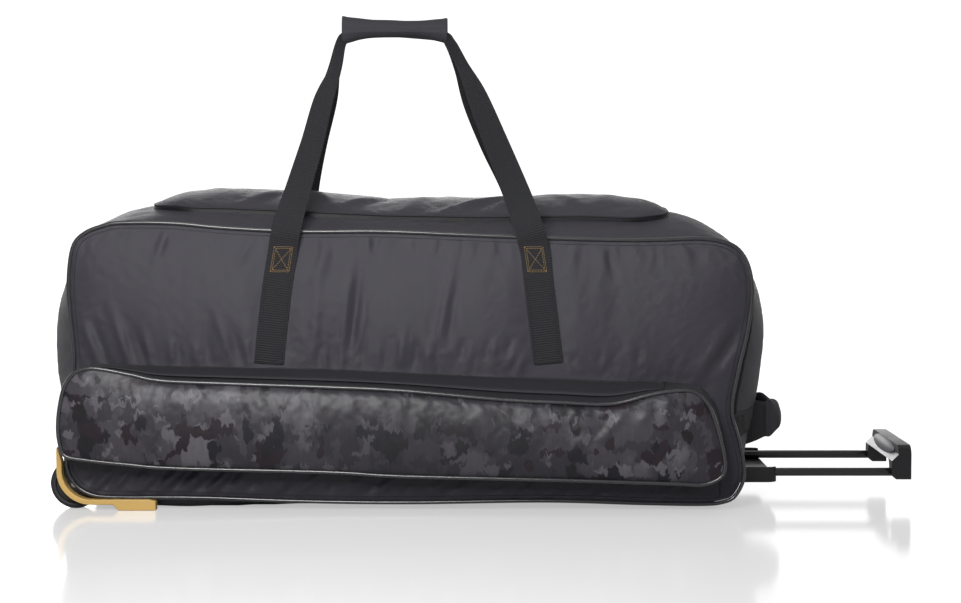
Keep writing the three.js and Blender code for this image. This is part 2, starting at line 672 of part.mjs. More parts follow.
// Body shell: hollow, with its mouth, wheel corners and the holes that the handle tubes leave by.
function shellGeometry() {
  const mouth = roundedRectangle(
    lidLength - 2 * mouthMargin, lidWidth - 2 * mouthMargin, lidCorner - mouthMargin,
  );
  const well = geometryOf(housingBlock(gap).add(solidOf(wheelWell())));
  let shell = bodySolid
    .subtract(bodyForm(cloth))
    .subtract(solidOf(extrudeUp(mouth, panelHeight * 0.7, panelHeight)))
    .subtract(solidOf(well))
    .subtract(solidOf(mirrored(well)));
  for (const side of [-1, 1]) {
    const middle = (side * rodSpacing) / 2;
    const hole = cylinderAlongX(tubeRadius + gap, halfLength * 0.7, trayEnd, middle, rodHeight);
    shell = shell.subtract(solidOf(hole));
  }
  return geometryOf(shell);
}

// Lid: a dome that follows the body's top, on a raised band.
const lidCornerSteps = 2; // of half a corner
const lidSteps = [3, 13]; // of the straight stretches of its ends and its long sides

// Points of a rounded rectangle in plan, clockwise from the middle of its front left corner.
function planOutline(length, width, corner) {
  const [x, y] = [length / 2 - corner, width / 2 - corner];
  const centres = [[-x, -y], [-x, y], [x, y], [x, -y]].map(([a, b]) => new THREE.Vector2(a, b));
  const onCorner = (centre, angle) =>
    centre.clone().add(new THREE.Vector2(Math.cos(angle), Math.sin(angle)).multiplyScalar(corner));
  return centres.flatMap((centre, side) => {
    const next = centres[(side + 1) % 4];
    const outwards = Math.PI - (side * Math.PI) / 2;
    const steps = lidSteps[side % 2];
    const turn = (step) => ((step / lidCornerSteps) * Math.PI) / 4;
    const half = [...Array(lidCornerSteps).keys()];
    return [
      ...half.map((step) => onCorner(centre, outwards + turn(lidCornerSteps - step))),
      ...[...Array(steps).keys()].map((step) =>
        onCorner(centre, outwards).lerp(onCorner(next, outwards), step / steps),
      ),
      ...half.map((step) => onCorner(next, outwards - turn(step))),
    ];
  });
}

// A wall between two outlines in plan, from one height to another.
function ringBand(outer, inner, low, high) {
  const rings = outer.map((point, i) => {
    const other = inner[i];
    return [
      new THREE.Vector3(point.x, point.y, low(point)),
      new THREE.Vector3(point.x, point.y, high(point)),
      new THREE.Vector3(other.x, other.y, high(point)),
      new THREE.Vector3(other.x, other.y, low(point)),
    ];
  });
  return loft(rings, true);
}

function lidGeometry() {
  const outline = planOutline(lidLength, lidWidth, lidCorner);
  const [upSteps, acrossSteps] = lidSteps.map((steps) => steps + 2 * lidCornerSteps);
  const grid = fillOutline(outline, upSteps, acrossSteps);
  const heights = (drop) =>
    grid.map((column) =>
      column.map(({ x, z: y, u, w }) => {
        const onEdge = Math.min(u, 1 - u, w, 1 - w) < 1e-6;
        const height = topHeight(x, y) + lidLift - (onEdge ? lidRounding : 0);
        return new THREE.Vector3(x, y, height - drop);
      }),
    );
  return sheet(heights(0), heights(cloth));
}

function lidBandGeometry() {
  const across = 2 * lidBandWidth;
  const outer = planOutline(lidLength, lidWidth, lidCorner);
  const inner = planOutline(lidLength - across, lidWidth - across, lidCorner - lidBandWidth);
  const low = ({ x, y }) => topHeight(x, y) - lidLift;
  const high = ({ x, y }) => topHeight(x, y) + lidLift - lidRounding - cloth - gap;
  return geometryOf(solidOf(ringBand(outer, inner, low, high)).subtract(bodyKeepout));
}

// Pocket
const pocketColumns = sampleSides(pocketRows, pocketSides);

function pocketPoint(along, up) {
  return new THREE.Vector2(pocketShift + (along * pocketLength) / 2, pocketFoot + up * pocketHeight);
}

const pocketEdge = pocketColumns.map(({ along, up }) => pocketPoint(along, up));
const pocketSeam = pocketColumns.map(({ seamAlong, seamUp }) => pocketPoint(seamAlong, seamUp));
const pocketFront = -halfDepth - pocketDepth;
const pocketEdgeSetback = pipingRadius + gap;

// The pocket's whole form, moved in by an inset, from inside the bag to past its outer edge.
function pocketForm(inset) {
  const outer = insetOutline(pocketEdge, inset);
  const seam = insetOutline(pocketSeam, inset);
  const [upSteps, acrossSteps] = [pocketSides[0].steps, pocketSides[1].steps];
  const cap = (share) => {
    const ring = seam.map((point, i) => point.clone().lerp(outer[i], share));
    const y = -halfDepth - share * pocketDepth;
    return fillOutline(ring, upSteps, acrossSteps).map((column) =>
      column.map(({ x, z }) => new THREE.Vector3(x, y, z)),
    );
  };
  return solidOf(sheet(cap(1.1), cap(-0.2)));
}

// Everything between two ends along X and two shares of the pocket's depth, above a height.
function pocketSlice(left, right, fromShare, toShare, low) {
  const [length, depth] = [right - left, (toShare - fromShare) * pocketDepth];
  const height = pocketFoot + 2 * pocketHeight - low;
  const middle = -halfDepth - ((fromShare + toShare) / 2) * pocketDepth;
  const block = new THREE.BoxGeometry(length, depth, height);
  return solidOf(block.translate((left + right) / 2, middle, low + height / 2));
}

function pocketGussetGeometry() {
  const edge = 1 - pocketEdgeSetback / pocketDepth;
  return geometryOf(
    pocketForm(0)
      .subtract(pocketForm(pocketCloth))
      .intersect(pocketSlice(-bodyWidest, bodyWidest, -0.1, edge, 0))
      .subtract(bodyKeepout)
      .subtract(frontPipingKeepout),
  );
}

const pocketPiping = pipingAlong(insetOutline(pocketEdge, pipingRadius), pocketFront, 0, pipingRadius);

function pocketPanelGeometry() {
  const outline = insetOutline(pocketEdge, pocketEdgeSetback);
  const grid = fillOutline(outline, pocketSides[0].steps, pocketSides[1].steps);
  const face = (drop) =>
    grid.map((column) =>
      column.map(({ x, z, u, w }) => {
        const inside = (1 - (2 * u - 1) ** pocketFlat.along) * (1 - (2 * w - 1) ** pocketFlat.up);
        return new THREE.Vector3(x, pocketFront + drop - pocketSwell * inside, z);
      }),
    );
  return sheet(face(0), face(pocketCloth));
}

function pocketZipFlapGeometry() {
  return geometryOf(
    pocketForm(-gap - pocketCloth)
      .subtract(pocketForm(-gap))
      .intersect(pocketSlice(flapLeft, flapRight, flapBack, flapFront, pocketFoot + pocketHeight / 2))
      .subtract(bodyKeepout),
  );
}

// Carry straps: webbing along a smooth course, first the left leg upwards, then the right one down.
const strapCourse = [
  ...strapRows.map((row) => ({ ...row, side: -1 })),
  ...[...strapRows].reverse().map((row) => ({ ...row, side: 1 })),
];

function strapPoint(place, rear) {
  const row = rowAt(strapCourse, place);
  const left = -strapSpread / 2;
  const start = row.side < 0 ? left : -left;
  const gripEnd = gripShift + (Math.sign(row.side) * gripLength) / 2;
  const [leftIn, rightIn] = rear ? [row.rearLeft, row.rearRight] : [row.left, row.right];
  const inwards = row.side < 0 ? leftIn : rightIn;
  const x = start + (gripEnd - start) * inwards;
  const z = row.up * strapTop;
  const sewn = panelFront(x, z) - strapThickness / 2;
  return { point: new THREE.Vector3(x, sewn * (1 - row.back), z), row };
}

function strapGeometry(growth, rear = false) {
  const steps = 2;
  const count = (strapCourse.length - 1) * steps;
  const samples = Array.from({ length: count + 1 }, (_, i) => strapPoint(i / steps, rear)).filter(
    ({ row }) => Math.abs(row.side) > 0.99,
  );
  const rings = samples.map(({ point, row }, i) => {
    const before = samples[Math.max(i - 1, 0)].point;
    const after = samples[Math.min(i + 1, samples.length - 1)].point;
    const along = after.clone().sub(before).normalize();
    const across = along.clone().cross(new THREE.Vector3(0, -1, 0)).normalize();
    across.applyAxisAngle(along, THREE.MathUtils.degToRad(row.twist * row.side));
    const out = across.clone().cross(along).normalize();
    const halfWidth = (strapWidth * row.narrow) / 2 + growth;
    const halfThickness = (strapThickness * row.fold) / 2 + growth;
    const inner = -halfThickness - (row.up < strapSewn ? strapSink : 0);
    return [[-1, inner], [1, inner], [1, halfThickness], [-1, halfThickness]].map(([side, depth]) =>
      point.clone().addScaledVector(across, side * halfWidth).addScaledVector(out, depth),
    );
  });
  return loft(rings, false, [2]);
}

function strapPiece(rear) {
  return geometryOf(solidOf(strapGeometry(0, rear)).subtract(bodyKeepout).subtract(frontPipingKeepout));
}

function carryGripGeometry() {
  const around = gripSides;
  const rings = gripRows.map(({ along, high, deep }) =>
    Array.from({ length: around }, (_, i) => {
      const angle = (i / around) * 2 * Math.PI;
      const y = (Math.cos(angle) * gripThickness * deep) / 2;
      const z = strapTop + (Math.sin(angle) * gripHeight * high) / 2;
      return new THREE.Vector3(gripShift + (along * gripLength) / 2, y, z);
    }),
  );
  const webbing = solidOf(strapGeometry(gap));
  const otherWebbing = solidOf(mirrored(strapGeometry(gap, true)));
  return geometryOf(solidOf(loft(rings)).subtract(webbing).subtract(otherWebbing));
}

// Pull handle
function extrudeAlongX(shape, from, to) {
  const options = { depth: to - from, bevelEnabled: false, curveSegments: 4 };
  return new THREE.ExtrudeGeometry(shape, options)
    .rotateX(Math.PI / 2)
    .rotateZ(Math.PI / 2)
    .translate(from, 0, 0);
}

function pullGripSolid(growth) {
  const half = rodSpacing / 2 + pullGripLeg / 2 + growth;
  const innerHalf = half - pullGripLeg - 2 * growth;
  const [low, high] = [pullGripBottom - growth, pullGripTop + growth];
  const under = pullGripBar - growth;
  const [inX, inZ] = [innerHalf - pullGripInnerCorner, under - pullGripInnerCorner];
  const [outX, outZ] = [half - pullGripCorner, high - pullGripCorner];
  const shape = new THREE.Shape();
  shape.moveTo(-half, low);
  shape.lineTo(-innerHalf, low);
  shape.absarc(-inX, inZ, pullGripInnerCorner, Math.PI, Math.PI / 2, true);
  shape.absarc(inX, inZ, pullGripInnerCorner, Math.PI / 2, 0, true);
  shape.lineTo(innerHalf, low);
  shape.lineTo(half, low);
  shape.absarc(outX, outZ, pullGripCorner, 0, Math.PI / 2);
  shape.absarc(-outX, outZ, pullGripCorner, Math.PI / 2, Math.PI);
  const face = gripFace - growth;
  const back = gripFace + pullGripDepth + growth;
  const points = [
    [face, low + pullGripChamfer],
    [face, under],
    [face + pullGripSlope, under + pullGripSlope],
    [face + pullGripSlope, high],
    [back - pullGripEdge, high],
    [back, high - pullGripEdge],
    [back, low + pullGripEdge],
    [back - pullGripEdge, low],
    [face + pullGripChamfer, low],
  ];
  const side = new THREE.Shape(points.map(([x, z]) => new THREE.Vector2(x, z)));
  return solidOf(extrudeAlongX(shape, face, back)).intersect(solidOf(extrudeBack(side, -half, 2 * half)));
}

function pullGripGeometry() {
  let grip = pullGripSolid(0);
  for (const side of [-1, 1]) {
    const socketEnd = gripFace + socketDepth + gap;
    const socket = cylinderAlongX(
      rodRadius + gap, gripFace - 1, socketEnd, (side * rodSpacing) / 2, rodHeight,
    );
    grip = grip.subtract(solidOf(socket));
  }
  return geometryOf(grip);
}

function gripInsertGeometry() {
  const pad = new THREE.SphereGeometry(1, 16, 8)
    .scale(insertDepth, insertWidth / 2, insertHeight / 2)
    .translate(gripFace + insertDepth, 0, pullGripTop - insertDrop);
  return geometryOf(solidOf(pad).subtract(pullGripSolid(gap)));
}

function tubeGeometry() {
  const outer = solidOf(cylinderAlongX(tubeRadius, tubeStart, tubeEnd, 0, 0));
  const bore = solidOf(cylinderAlongX(rodRadius + gap, tubeStart - 1, tubeEnd + 1, 0, 0));
  return geometryOf(outer.subtract(bore));
}

function rodGeometry() {
  return cylinderAlongX(rodRadius, rodStart, gripFace + socketDepth, 0, 0);
}

function trayGeometry() {
  const start = halfLength * 0.94;
  const [half, inner] = [trayWidth / 2, trayWidth / 2 - trayWall];
  const section = [
    [-half, trayBottom],
    [half, trayBottom],
    [half, trayTop],
    [inner, trayTop],
    [inner, trayFloor],
    [-inner, trayFloor],
    [-inner, trayTop],
    [-half, trayTop],
  ];
  const plan = [
    [start, -half],
    [trayEnd - trayCorner, -half],
    [trayEnd, -half + trayCorner],
    [trayEnd, half - trayCorner],
    [trayEnd - trayCorner, half],
    [start, half],
  ];
  const [across, above] = [section, plan].map(
    (points) => new THREE.Shape(points.map(([x, y]) => new THREE.Vector2(x, y))),
  );
  const trough = solidOf(extrudeAlongX(across, start, trayEnd));
  const outline = solidOf(extrudeUp(above, 0, 2 * trayTop));
  return geometryOf(trough.intersect(outline).subtract(bodyKeepout));
}

function endHandleGeometry() {
  const rings = endHandleStations.map((station) => {
    const reach = endHandleReach * Math.max(1 - Math.abs(station) ** endHandleRoundness, -0.6);
    const point = new THREE.Vector3(halfLength + reach, station * endHandleHalfSpan, endHandleHeight);
    const flare = clamp(Math.abs(station), 0, 1) ** 2;
    const high = THREE.MathUtils.lerp(endHandleWidth, endHandleRoot, flare) / 2;
    const thick = endHandleThickness / 2;
    return [[-1, -1], [1, -1], [1, 1], [-1, 1]].map(([side, up]) =>
      point.clone().add(new THREE.Vector3(side * thick, 0, up * high)),
    );
  });
  return geometryOf(solidOf(loft(rings)).subtract(bodyKeepout));
}

function piece(name, geometry, finish) {
  const mesh = new THREE.Mesh(geometry, new THREE.MeshStandardMaterial(finishes[finish]));
  mesh.name = name;
  return mesh;
}

const group = new THREE.Group();
group.add(
  piece("body_shell", shellGeometry(), "bodyCloth"),
  piece("lid", lidGeometry(), "bodyCloth"),
  piece("lid_zip_band", lidBandGeometry(), "trimCloth"),
  piece("front_piping", frontPiping, "piping"),
  piece("back_piping", mirrored(frontPiping), "piping"),
  piece("pocket_panel", pocketPanelGeometry(), "patternCloth"),
  piece("pocket_gusset", pocketGussetGeometry(), "trimCloth"),
  piece("pocket_piping", pocketPiping, "piping"),
  piece("pocket_zip_flap", pocketZipFlapGeometry(), "trimCloth"),
  piece("carry_strap_front", strapPiece(false), "webbing"),
  piece("carry_strap_rear", mirrored(strapPiece(true)), "webbing"),
  piece("carry_grip", carryGripGeometry(), "trimCloth"),
  piece("end_handle", endHandleGeometry(), "webbing"),
  piece("handle_tray", trayGeometry(), "blackPlastic"),
);

const guard = guardGeometry();
const housing = housingGeometry();
group.add(
  piece("wheel_guard_front", guard, "yellowPlastic"),
  piece("wheel_guard_rear", mirrored(guard), "yellowPlastic"),
  piece("wheel_housing_front", housing, "blackPlastic"),
  piece("wheel_housing_rear", mirrored(housing), "blackPlastic"),
  piece("axle_front", axleGeometry, "steel"),
  piece("axle_rear", mirrored(axleGeometry), "steel"),
);

for (const [name, side] of [["front", -1], ["rear", 1]]) {
  const wheel = piece("wheel_" + name, wheelGeometry(), "wheelRubber");
  wheel.position.set(wheelX, -side * (wheelFront + wheelWidth / 2), wheelRadius);
  if (side > 0) wheel.rotation.z = Math.PI;
  const tube = piece("handle_tube_" + name, tubeGeometry(), "steel");
  tube.position.set(0, (side * rodSpacing) / 2, rodHeight);
  group.add(wheel, tube);
}

const pullHandle = new THREE.Group();
for (const [name, side] of [["front", -1], ["rear", 1]]) {
  const rod = piece("handle_rod_" + name, rodGeometry(), "blackMetal");
  rod.position.set(0, (side * rodSpacing) / 2, rodHeight);
  pullHandle.add(rod);
}
pullHandle.add(
  piece("pull_grip", pullGripGeometry(), "blackPlastic"),
  piece("pull_grip_insert", gripInsertGeometry(), "greyRubber"),
);
group.add(pullHandle);

export default group;
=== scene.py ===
# Wheeled cricket kit bag: cloth, webbing, plastics and studio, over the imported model. Metres, Z up.
import math
import bpy
import bmesh
import numpy as np
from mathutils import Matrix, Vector, noise
from mathutils.bvhtree import BVHTree


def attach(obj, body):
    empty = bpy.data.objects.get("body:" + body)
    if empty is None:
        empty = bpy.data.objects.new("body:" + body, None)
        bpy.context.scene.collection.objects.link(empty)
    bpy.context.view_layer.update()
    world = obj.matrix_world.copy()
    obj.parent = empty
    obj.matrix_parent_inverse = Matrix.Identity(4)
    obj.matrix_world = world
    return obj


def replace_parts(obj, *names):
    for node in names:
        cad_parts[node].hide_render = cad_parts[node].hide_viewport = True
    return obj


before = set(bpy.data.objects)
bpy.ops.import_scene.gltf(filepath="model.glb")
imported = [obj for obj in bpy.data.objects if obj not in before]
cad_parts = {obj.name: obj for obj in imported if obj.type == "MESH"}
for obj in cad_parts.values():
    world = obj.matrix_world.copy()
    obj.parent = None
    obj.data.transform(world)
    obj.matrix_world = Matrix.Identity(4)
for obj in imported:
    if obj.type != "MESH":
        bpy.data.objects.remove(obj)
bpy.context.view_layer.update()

scene = bpy.context.scene
rng = np.random.default_rng(7)


# Sizes that several pieces share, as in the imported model
bag = {
    "length": 0.870,
    "height": 0.368,
    "depth": 0.350,
    "endBulge": 0.040,
    "crownRise": 0.040,
    "panelSwell": 0.009,
    "creasing": 1.35,
    "roundness": 1.3,
    "pipingRadius": 0.0026,
    "pipingStand": 0.92,  # how far outside its seam, and in front of it, as shares of its radius and the gap
    "pipingForward": 0.55,
    "gap": 0.0003,
}
pipingReach = bag["pipingRadius"] + bag["gap"]
halfLength = bag["length"] / 2
halfDepth = bag["depth"] / 2

# Front seam, clockwise from the lower left corner: along, up, out, rise, down, run
seamRows = [
    (-0.966, 0.076, -0.4, 0, 0.15, 0.5), (-0.993, 0.109, -0.45, 0, 0, 0.8),
    (-1.01, 0.169, -0.49, 0, 0, 1), (-1.002, 0.299, -0.72, 0, 0, 1),
    (-0.982, 0.508, -1.25, 0, 0, 1), (-0.992, 0.685, -1.04, 0, 0, 1),
    (-0.996, 0.807, -0.56, 0.05, 0, 1), (-0.983, 0.919, -0.38, 0.08, 0, 1),
    (-0.949, 0.965, -0.35, 0.05, 0, 1), (-0.897, 0.989, -0.3, 0.09, 0, 1),
    (-0.848, 0.999, -0.12, 0.34, 0, 1), (-0.699, 0.998, 0, 0.75, 0, 1),
    (-0.533, 0.981, 0, 0.97, 0, 1), (-0.31, 0.969, 0, 0.97, 0, 1),
    (-0.076, 0.969, 0, 0.75, 0, 1), (0.216, 0.955, 0, 0.89, 0, 1),
    (0.531, 0.942, 0, 1.16, 0, 1), (0.715, 0.94, 0, 1.03, 0, 1),
    (0.857, 0.945, 0.08, 0.6, 0, 1), (0.94, 0.928, 0.22, 0.18, 0, 1),
    (0.981, 0.888, 0.33, 0.03, 0, 1), (1.002, 0.821, 0.38, 0, 0, 1),
    (1.005, 0.739, 0.68, 0, 0, 1), (0.991, 0.62, 1.04, 0, 0, 1),
    (0.965, 0.484, 1.25, 0, 0, 1), (0.948, 0.351, 1.25, 0, 0, 1),
    (0.972, 0.236, 0.68, 0, 0, 1), (0.987, 0.128, 0.27, 0, 0, 0.8),
    (0.965, 0.059, 0.13, 0, 0.15, 0.5), (0.933, 0.036, 0, 0, 0.55, 0.35),
    (0.869, 0.028, 0, 0, 1, 0.27), (0.69, 0.031, 0, 0, 1, 0.35),
    (0.4, 0.04, 0, 0, 1, 0.53), (0, 0.034, 0, 0, 1, 0.43),
    (-0.308, 0.038, 0, 0, 1, 0.29), (-0.6, 0.05, 0, 0, 1, 0.17),
    (-0.749, 0.052, 0, 0, 1, 0.17), (-0.851, 0.052, 0, 0, 0.85, 0.2),
    (-0.926, 0.057, 0, 0, 0.45, 0.3),
]
seamCorners = [0, 8, 20, 28, 39]  # rows where the left, top, right and bottom sides start

# Soft folds of the front and back panels: along, up, lean in degrees, long, wide, deep, as in the model
panelFolds = [
    (-0.86, 0.72, 20, 0.3, 0.1, -0.35), (-0.48, 0.62, -12, 0.34, 0.08, 0.3),
    (-0.12, 0.72, 8, 0.3, 0.09, -0.3), (0.22, 0.64, -10, 0.34, 0.09, 0.35),
    (0.6, 0.66, 14, 0.3, 0.1, -0.3), (0.86, 0.52, -24, 0.3, 0.08, 0.4),
]

# Creases of the front panel, in the same columns
frontCreases = [
    (-0.938, 0.591, -18, 0.083, 0.012, 0.24), (-0.911, 0.598, -18, 0.07, 0.010, -0.2),
    (-0.846, 0.605, -17, 0.104, 0.015, 0.27), (-0.817, 0.580, -15, 0.07, 0.010, -0.17),
    (-0.788, 0.570, -20, 0.063, 0.009, -0.2), (-0.767, 0.563, -12, 0.056, 0.010, 0.17),
    (-0.696, 0.553, -8, 0.049, 0.010, 0.2), (-0.676, 0.556, -8, 0.042, 0.009, -0.13),
    (-0.623, 0.553, -10, 0.049, 0.015, 0.22), (-0.590, 0.563, -12, 0.049, 0.012, -0.11),
    (-0.543, 0.605, -22, 0.097, 0.015, 0.22), (-0.508, 0.580, -18, 0.07, 0.012, -0.17),
    (-0.476, 0.570, -12, 0.07, 0.009, 0.13),
    (-0.726, 0.928, 22, 0.052, 0.012, 0.22), (-0.702, 0.925, 20, 0.045, 0.012, -0.15),
    (-0.582, 0.932, 10, 0.035, 0.009, 0.13), (-0.561, 0.935, 15, 0.031, 0.009, -0.11),
    (-0.487, 0.893, 35, 0.07, 0.015, 0.2), (-0.461, 0.911, 30, 0.049, 0.012, -0.13),
    (-0.885, 0.953, 40, 0.042, 0.009, 0.11),
    (-0.255, 0.869, 18, 0.08, 0.012, 0.2), (-0.284, 0.883, 18, 0.07, 0.010, -0.12),
    (-0.217, 0.859, 16, 0.07, 0.010, -0.13), (-0.275, 0.650, 4, 0.12, 0.014, 0.2),
    (-0.231, 0.546, -8, 0.045, 0.010, -0.15), (-0.161, 0.674, 7, 0.16, 0.013, -0.26),
    (-0.184, 0.674, 6, 0.15, 0.013, 0.22), (-0.140, 0.633, 8, 0.11, 0.012, 0.16),
    (-0.099, 0.928, 2, 0.04, 0.012, -0.2), (-0.019, 0.556, 6, 0.05, 0.012, 0.17),
    (0.022, 0.546, 8, 0.05, 0.010, -0.15), (0.063, 0.539, 6, 0.045, 0.012, 0.16),
    (0.104, 0.702, 10, 0.16, 0.013, 0.22), (0.128, 0.674, 9, 0.13, 0.011, -0.15),
    (0.166, 0.539, 8, 0.05, 0.012, 0.17), (0.084, 0.935, 5, 0.03, 0.009, 0.13),
    (0.181, 0.911, 6, 0.035, 0.010, 0.15), (0.216, 0.834, 10, 0.06, 0.020, 0.12),
    (0.245, 0.911, 3, 0.035, 0.010, 0.15), (0.298, 0.911, -4, 0.035, 0.010, 0.15),
    (0.301, 0.539, 24, 0.05, 0.013, 0.2), (0.337, 0.528, 20, 0.04, 0.011, 0.17),
    (0.478, 0.893, 6, 0.04, 0.012, 0.17), (0.572, 0.887, -15, 0.05, 0.013, 0.17),
    (0.593, 0.869, -20, 0.055, 0.010, -0.26), (0.690, 0.900, 8, 0.04, 0.012, 0.13),
    (0.731, 0.890, -3, 0.045, 0.010, -0.18), (0.749, 0.890, 0, 0.042, 0.010, 0.13),
    (0.816, 0.900, -14, 0.042, 0.010, 0.14), (0.572, 0.518, 30, 0.03, 0.010, 0.14),
    (0.899, 0.563, 33, 0.12, 0.022, 0.25), (0.937, 0.563, 33, 0.13, 0.022, -0.35),
]

# Rows of small gathers: from, to, up, count, lean, spread of the lean, long, wide, deep
frontGathers = [
    (-0.90, -0.45, 0.955, 9, 10, 12, 0.035, 0.008, 0.10), (-0.30, 0.34, 0.935, 20, 4, 9, 0.035, 0.008, 0.12),
    (0.44, 0.90, 0.905, 12, 0, 10, 0.035, 0.008, 0.10), (-0.29, 0.35, 0.548, 18, 6, 8, 0.045, 0.009, 0.11),
    (0.45, 0.84, 0.525, 8, 8, 16, 0.030, 0.009, 0.08), (-0.97, -0.50, 0.105, 13, 48, 8, 0.060, 0.011, 0.55),
    (-0.48, 0.92, 0.085, 24, 40, 14, 0.042, 0.011, 0.32),
]
backGathers = [
    (-0.90, 0.90, 0.930, 34, 4, 12, 0.045, 0.010, 0.13), (-0.93, 0.90, 0.090, 34, 8, 16, 0.045, 0.010, 0.14),
    (-0.70, 0.80, 0.60, 12, 0, 20, 0.14, 0.016, 0.16),
]
pocketCreases = [
    (0.664, 0.534, 45, 0.15, 0.015, 0.25), (0.635, 0.500, 45, 0.13, 0.012, -0.2),
    (0.563, 0.356, 37, 0.11, 0.013, 0.22), (0.756, 0.585, 40, 0.07, 0.012, 0.2),
    (0.718, 0.170, 40, 0.08, 0.013, 0.2), (0.393, 0.542, 75, 0.06, 0.012, 0.12),
    (0.170, 0.203, 8, 0.10, 0.009, 0.17), (0.825, 0.730, 20, 0.10, 0.018, 0.14),
]
pocketGathers = [
    (0.52, 0.64, 0.655, 6, 4, 8, 0.05, 0.008, 0.16), (-0.90, 0.45, 0.72, 18, 10, 16, 0.14, 0.012, 0.05),
    (-0.92, 0.90, 0.19, 28, 12, 18, 0.09, 0.010, 0.10), (0.60, 0.93, 0.72, 8, 20, 12, 0.08, 0.010, 0.13),
]


def gatherRows(tables):  # the rows of small gathers, ridges and hollows in turn, each a little different
    rows = []
    for start, end, up, count, lean, spread, long, wide, deep in tables:
        for k in range(count):
            a, b, c, d = rng.uniform(-1, 1, 4)
            along = start + (end - start) * (k + 0.5 + 0.35 * a) / count
            side = 1 if k % 2 else -1
            rows.append((along, up + 0.02 * b, lean + spread * c, long * (1 + 0.4 * d), wide * (1 + 0.3 * a),
                         side * deep * (1 + 0.5 * b)))
    return rows


def foldDepth(rows, x, z, length, height):  # sum of soft folds at points of a panel, in shares of its swell
    total = np.zeros_like(x)
    for along, up, lean, long, wide, deep in rows:
        angle = math.radians(lean)
        dx, dz = x - along * length, z - up * height
        lengthwise = (dz * math.cos(angle) + dx * math.sin(angle)) / (long * height)
        across = (dx * math.cos(angle) - dz * math.sin(angle)) / (wide * length)
        total += deep * np.exp(-(lengthwise ** 2 + across ** 2))
    return total


# Curves and grids

def smoothRows(rows, places, closed=False):  # a smooth curve through the rows of a table
    table = np.array(rows, float)
    places = np.asarray(places, float)
    first = np.floor(places).astype(int)
    share = (places - first)[:, None]

    def near(step):
        index = first + step
        return table[index % len(table)] if closed else table[np.clip(index, 0, len(table) - 1)]

    a, b, c, d = (near(step) for step in (-1, 0, 1, 2))
    bend = 2 * a - 5 * b + 4 * c - d
    return b + 0.5 * share * (c - a + share * (bend + share * (3 * (b - c) + d - a)))


def walkedAlong(path):  # distance walked along a path to each of its points
    return np.concatenate([[0], np.cumsum(np.linalg.norm(np.diff(path, axis=0), axis=1))])


def pointsAlong(path, walked, places):  # points of a path at distances along it
    return np.stack([np.interp(places, walked, path[:, k]) for k in range(path.shape[1])], axis=1)


def unit(ways):
    return ways / np.linalg.norm(ways, axis=1)[:, None]


def evenSides(rows, corners, counts, scale):  # rows spaced evenly along each side of a closed table
    sides = []
    for start, end, count in zip(corners, corners[1:], counts):
        fine = np.linspace(start, end, 1500)
        points = smoothRows(rows, fine, True)[:, :2] * scale
        walked = walkedAlong(points)
        places = np.interp(np.linspace(0, walked[-1], count, endpoint=False), walked, fine)
        sides.append(smoothRows(rows, places, True))
    return np.vstack(sides)


def normalsOf(outline):  # unit normals of a clockwise closed outline, pointing out
    along = unit(np.roll(outline, -1, axis=0) - np.roll(outline, 1, axis=0))
    return np.stack([-along[:, 1], along[:, 0]], axis=1)


def fillOutline(outline, up, across):  # a grid of points inside a closed outline
    size = len(outline)
    left = outline[: up + 1]
    top = outline[up : up + across + 1]
    right = outline[(2 * up + across - np.arange(up + 1)) % size]
    bottom = outline[(2 * (up + across) - np.arange(across + 1)) % size]
    u = np.linspace(0, 1, across + 1)[:, None, None]
    w = np.linspace(0, 1, up + 1)[None, :, None]
    grid = (1 - w) * bottom[:, None] + w * top[:, None] + (1 - u) * left[None] + u * right[None]
    grid -= (1 - u) * ((1 - w) * left[0] + w * left[-1]) + u * ((1 - w) * right[0] + w * right[-1])
    return grid, np.broadcast_to(u[..., 0], grid.shape[:2]), np.broadcast_to(w[..., 0], grid.shape[:2])


def gridFaces(wide, high, closed=False, turned=False):
    a = np.arange(wide if closed else wide - 1)
    b = np.arange(high - 1)
    here = a[:, None] * high + b
    there = ((a + 1) % wide)[:, None] * high + b
    faces = np.stack([here, there, there + 1, here + 1], axis=-1).reshape(-1, 4)
    return (faces[:, ::-1] if turned else faces).tolist()


def ringFaces(count, size):  # a tube of rings with both ends capped
    faces = gridFaces(count, size)
    faces += [[i * size + size - 1, (i + 1) * size + size - 1, (i + 1) * size, i * size]
              for i in range(count - 1)]
    return faces + [list(range(size)), list(range((count - 1) * size, count * size))[::-1]]


def makePiece(name, points, faces, material, body="bag", uv=None, smooth=True):
    mesh = bpy.data.meshes.new(name)
    mesh.from_pydata(np.asarray(points, float).reshape(-1, 3).tolist(), [], faces)
    mesh.validate()
    if uv is not None:
        layer = mesh.uv_layers.new(name="cloth")
        corners = np.empty(len(mesh.loops), int)
        mesh.loops.foreach_get("vertex_index", corners)
        layer.data.foreach_set("uv", np.asarray(uv, float).reshape(-1, 2)[corners].ravel())
    mesh.polygons.foreach_set("use_smooth", [smooth] * len(mesh.polygons))
    mesh.materials.append(material)
    piece = bpy.data.objects.new(name, mesh)
    scene.collection.objects.link(piece)
    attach(piece, body)
    return piece


def pointsOf(piece):
    points = np.empty(len(piece.data.vertices) * 3)
    piece.data.vertices.foreach_get("co", points)
    return points.reshape(-1, 3)


def movePoints(piece, points):
    piece.data.vertices.foreach_set("co", np.asarray(points, float).ravel())
    piece.data.update()


def subdivide(piece, levels=1):
    finer = piece.modifiers.new("finer", "SUBSURF")
    finer.levels = finer.render_levels = levels
    finer.boundary_smooth = "PRESERVE_CORNERS"
    return piece


def surfaceOf(piece):
    points = [Vector(p) for p in pointsOf(piece)]
    return BVHTree.FromPolygons(points, [list(f.vertices) for f in piece.data.polygons])


